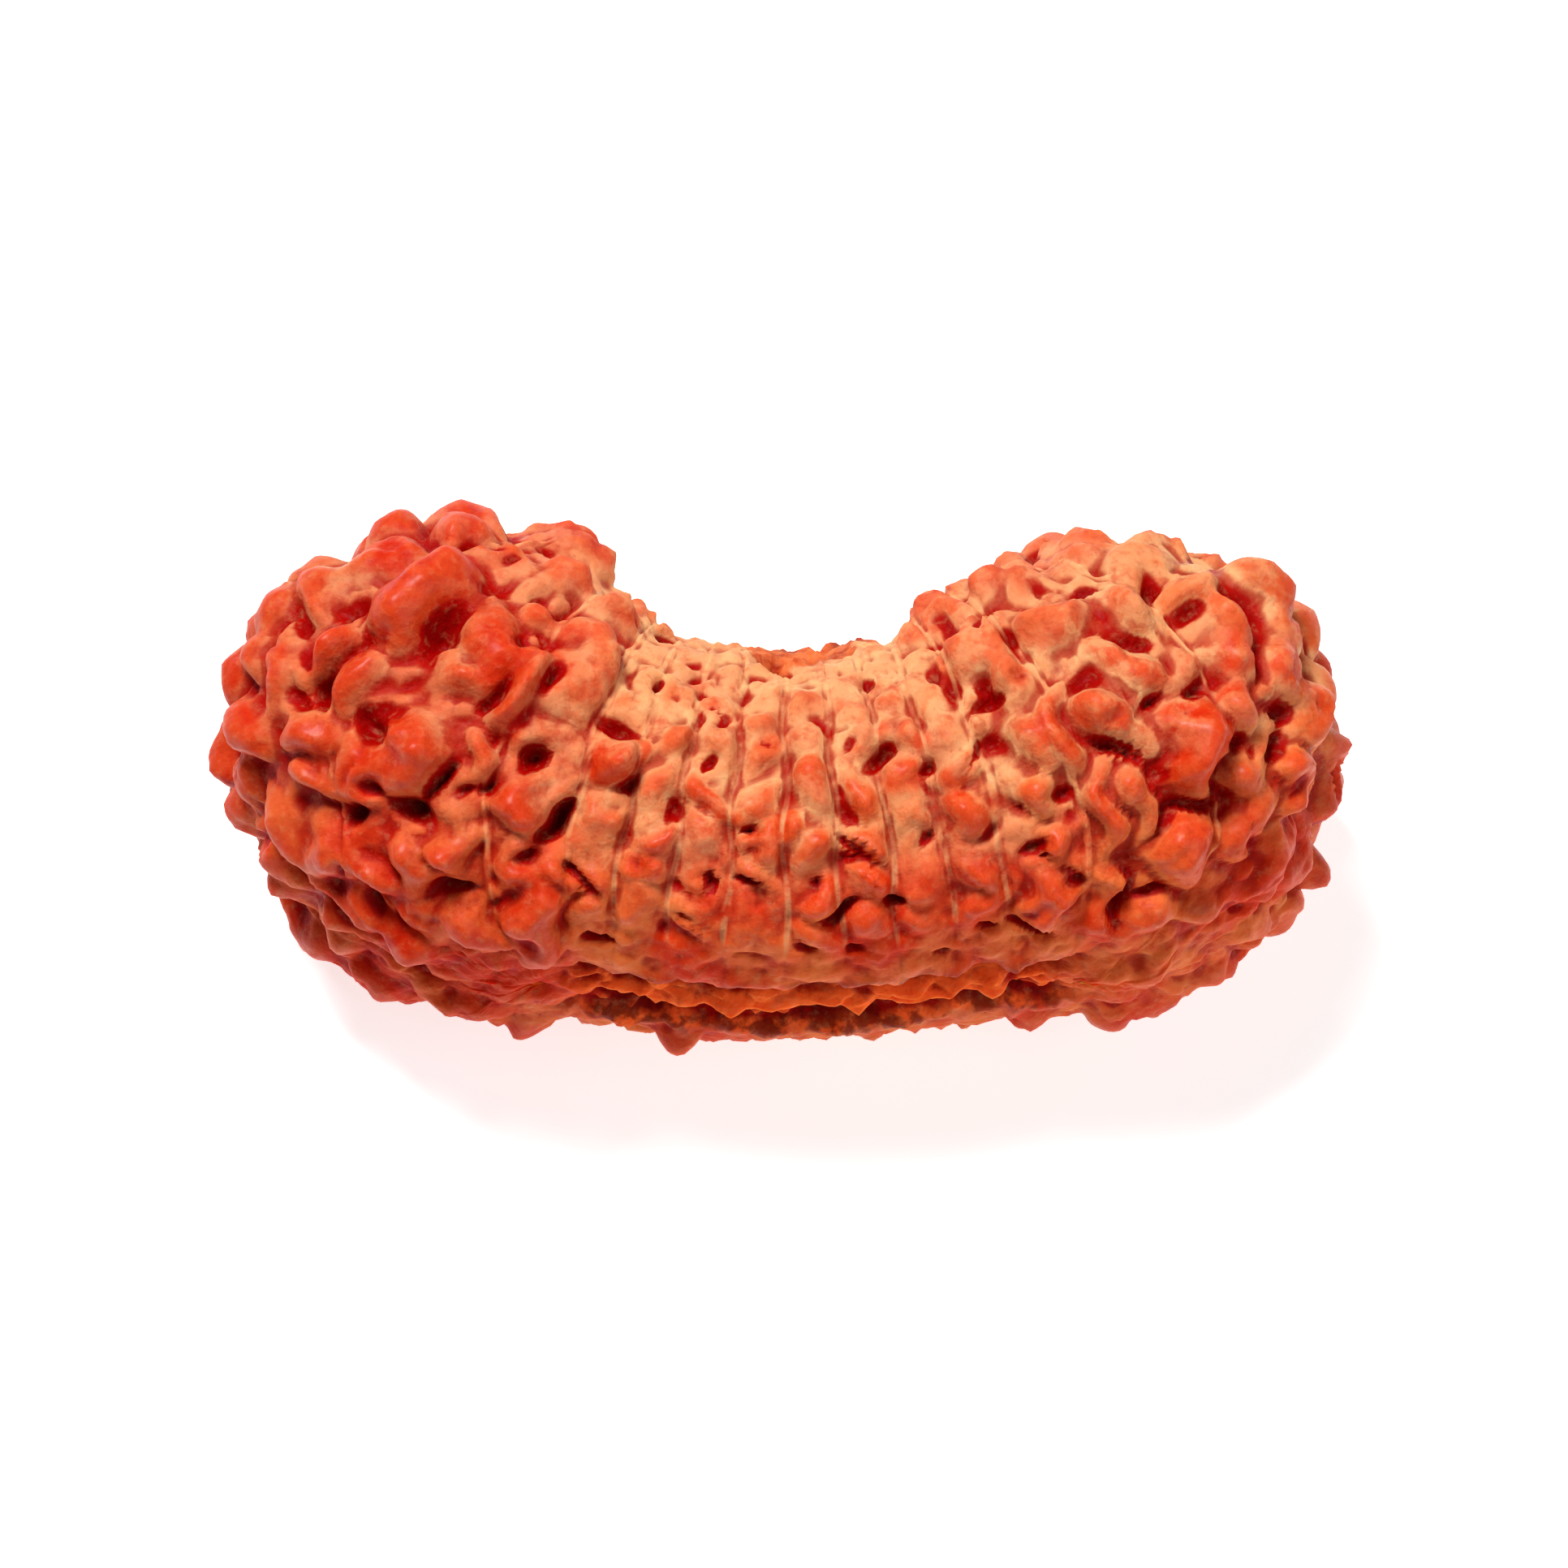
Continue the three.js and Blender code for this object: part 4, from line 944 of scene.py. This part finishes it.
def makeBead():
    points, facts, columns, rows = beadSurface()
    zones = beadZones
    relief = facts.pop("relief")
    rise = facts.pop("rise")
    facts["hollow"] = gridBlur(relief, columns, rows, zones["hollowRounds"]) - relief
    facts["fold"] = gridBlur(relief, columns, rows, zones["foldRounds"]) - relief
    fromCentre = points[:, 0] - beadForm["centre"][0]
    # pale dust, partly painted light: on open ribs and between the lobes' ends, paler towards the
    # saddle's side, where light falls, and none in hollows
    lit = smoothAngle(zones["lit"], rise) * fade(zones["litFade"], rise)
    pale = smooth(*zones["paleLeft"], fromCentre) * (1 - smooth(*zones["paleRight"], fromCentre))
    pale = zones["paleShare"] * pale * smoothAngle(zones["paleRise"], rise)
    dustAndLight = np.maximum(facts["narrow"] * lit, pale)
    facts["dustAndLight"] = dustAndLight * (1 - smooth(*zones["clearInHollows"], facts["hollow"]))
    # darker, redder and less pale towards the left end
    facts["leftEndShare"] = smooth(*zones["leftEndShare"], -fromCentre)
    pallor = zones["pallor"] * (1 - zones["leftEndPallor"] * facts["leftEndShare"])
    # paler ground towards the saddle's side, where light falls: partly painted light
    facts["pallor"] = pallor * smoothAngle(zones["pallorRise"], rise)
    blush = smoothAngle(zones["blushRise"], rise)
    facts["blush"] = blush * smooth(*zones["blushOut"], np.abs(fromCentre))
    mesh = closedMesh("rudraksha_bead", points, columns, rows, facts)
    mesh.materials.append(waxyStone())
    bead = bpy.data.objects.new("rudraksha_bead", mesh)
    bpy.context.scene.collection.objects.link(bead)
    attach(bead, "root")
    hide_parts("bead")


studio = {  # metres and watts where nothing else is said
    "pixelsPerMillimetre": 35,
    "imageWidth": 1932,
    "cameraDistance": 300,  # millimetres
    "sensorWidth": 36,  # millimetres
    "clipStart": 0.01,
    "floorSize": 3.0,
    "floorColour": (0.8, 0.9, 0.9, 1),
    "floorRoughness": 0.9,
    "floorGlow": 0.66,
    "skyStrength": 0.05,
    "keyPlace": (-0.06, 0.075, 0.255),
    "keySize": 0.09,
    "keyPower": 1.0,
    "fillPlace": (0.22, -0.16, 0.22),
    "fillSize": 0.25,
    "fillPower": 0.42,
}


def addLight(name, place, size, power, aim):
    light = bpy.data.lights.new(name, "AREA")
    light.size = size
    light.energy = power
    lamp = bpy.data.objects.new(name, light)
    lamp.location = place
    lamp.rotation_euler = (aim - Vector(place)).to_track_quat("-Z", "Y").to_euler()
    bpy.context.scene.collection.objects.link(lamp)


def makeStudio():
    scene = bpy.context.scene
    up, towards = viewAxes()
    aim = np.array((*beadForm["centre"], beadForm["restHeight"])) + up * namedView["upMiddle"]
    spot = (aim + towards * studio["cameraDistance"]) * millimetre
    aim = Vector(aim * millimetre)
    view = bpy.data.cameras.new("photo view")
    view.sensor_width = studio["sensorWidth"]
    frameWidth = studio["imageWidth"] / studio["pixelsPerMillimetre"]
    view.lens = view.sensor_width * studio["cameraDistance"] / frameWidth
    view.clip_start = studio["clipStart"]
    camera = bpy.data.objects.new("photo view", view)
    camera.location = spot
    camera.rotation_euler = (aim - camera.location).to_track_quat("-Z", "Y").to_euler()
    scene.collection.objects.link(camera)
    scene.camera = camera

    half = studio["floorSize"] / 2
    mesh = bpy.data.meshes.new("floor")
    corners = [(-half, -half, 0), (half, -half, 0), (half, half, 0), (-half, half, 0)]
    mesh.from_pydata(corners, [], [(0, 1, 2, 3)])
    maker = Maker("pale floor")
    shader = maker.add("ShaderNodeBsdfPrincipled", {}, {
        "Base Color": studio["floorColour"], "Roughness": studio["floorRoughness"],
        "Emission Color": (1, 1, 1, 1), "Emission Strength": studio["floorGlow"],
    })
    mesh.materials.append(maker.finish(shader))
    floor = bpy.data.objects.new("floor", mesh)
    scene.collection.objects.link(floor)

    world = bpy.data.worlds.new("soft sky")
    scene.world = world
    world.use_nodes = True
    sky = world.node_tree.nodes["Background"]
    sky.inputs["Color"].default_value = (1, 1, 1, 1)
    sky.inputs["Strength"].default_value = studio["skyStrength"]
    addLight("key", studio["keyPlace"], studio["keySize"], studio["keyPower"], aim)
    addLight("fill", studio["fillPlace"], studio["fillSize"], studio["fillPower"], aim)
    scene.view_settings.view_transform = "Standard"
    print("studio: camera, floor and lights")


makeBead()
makeStudio()
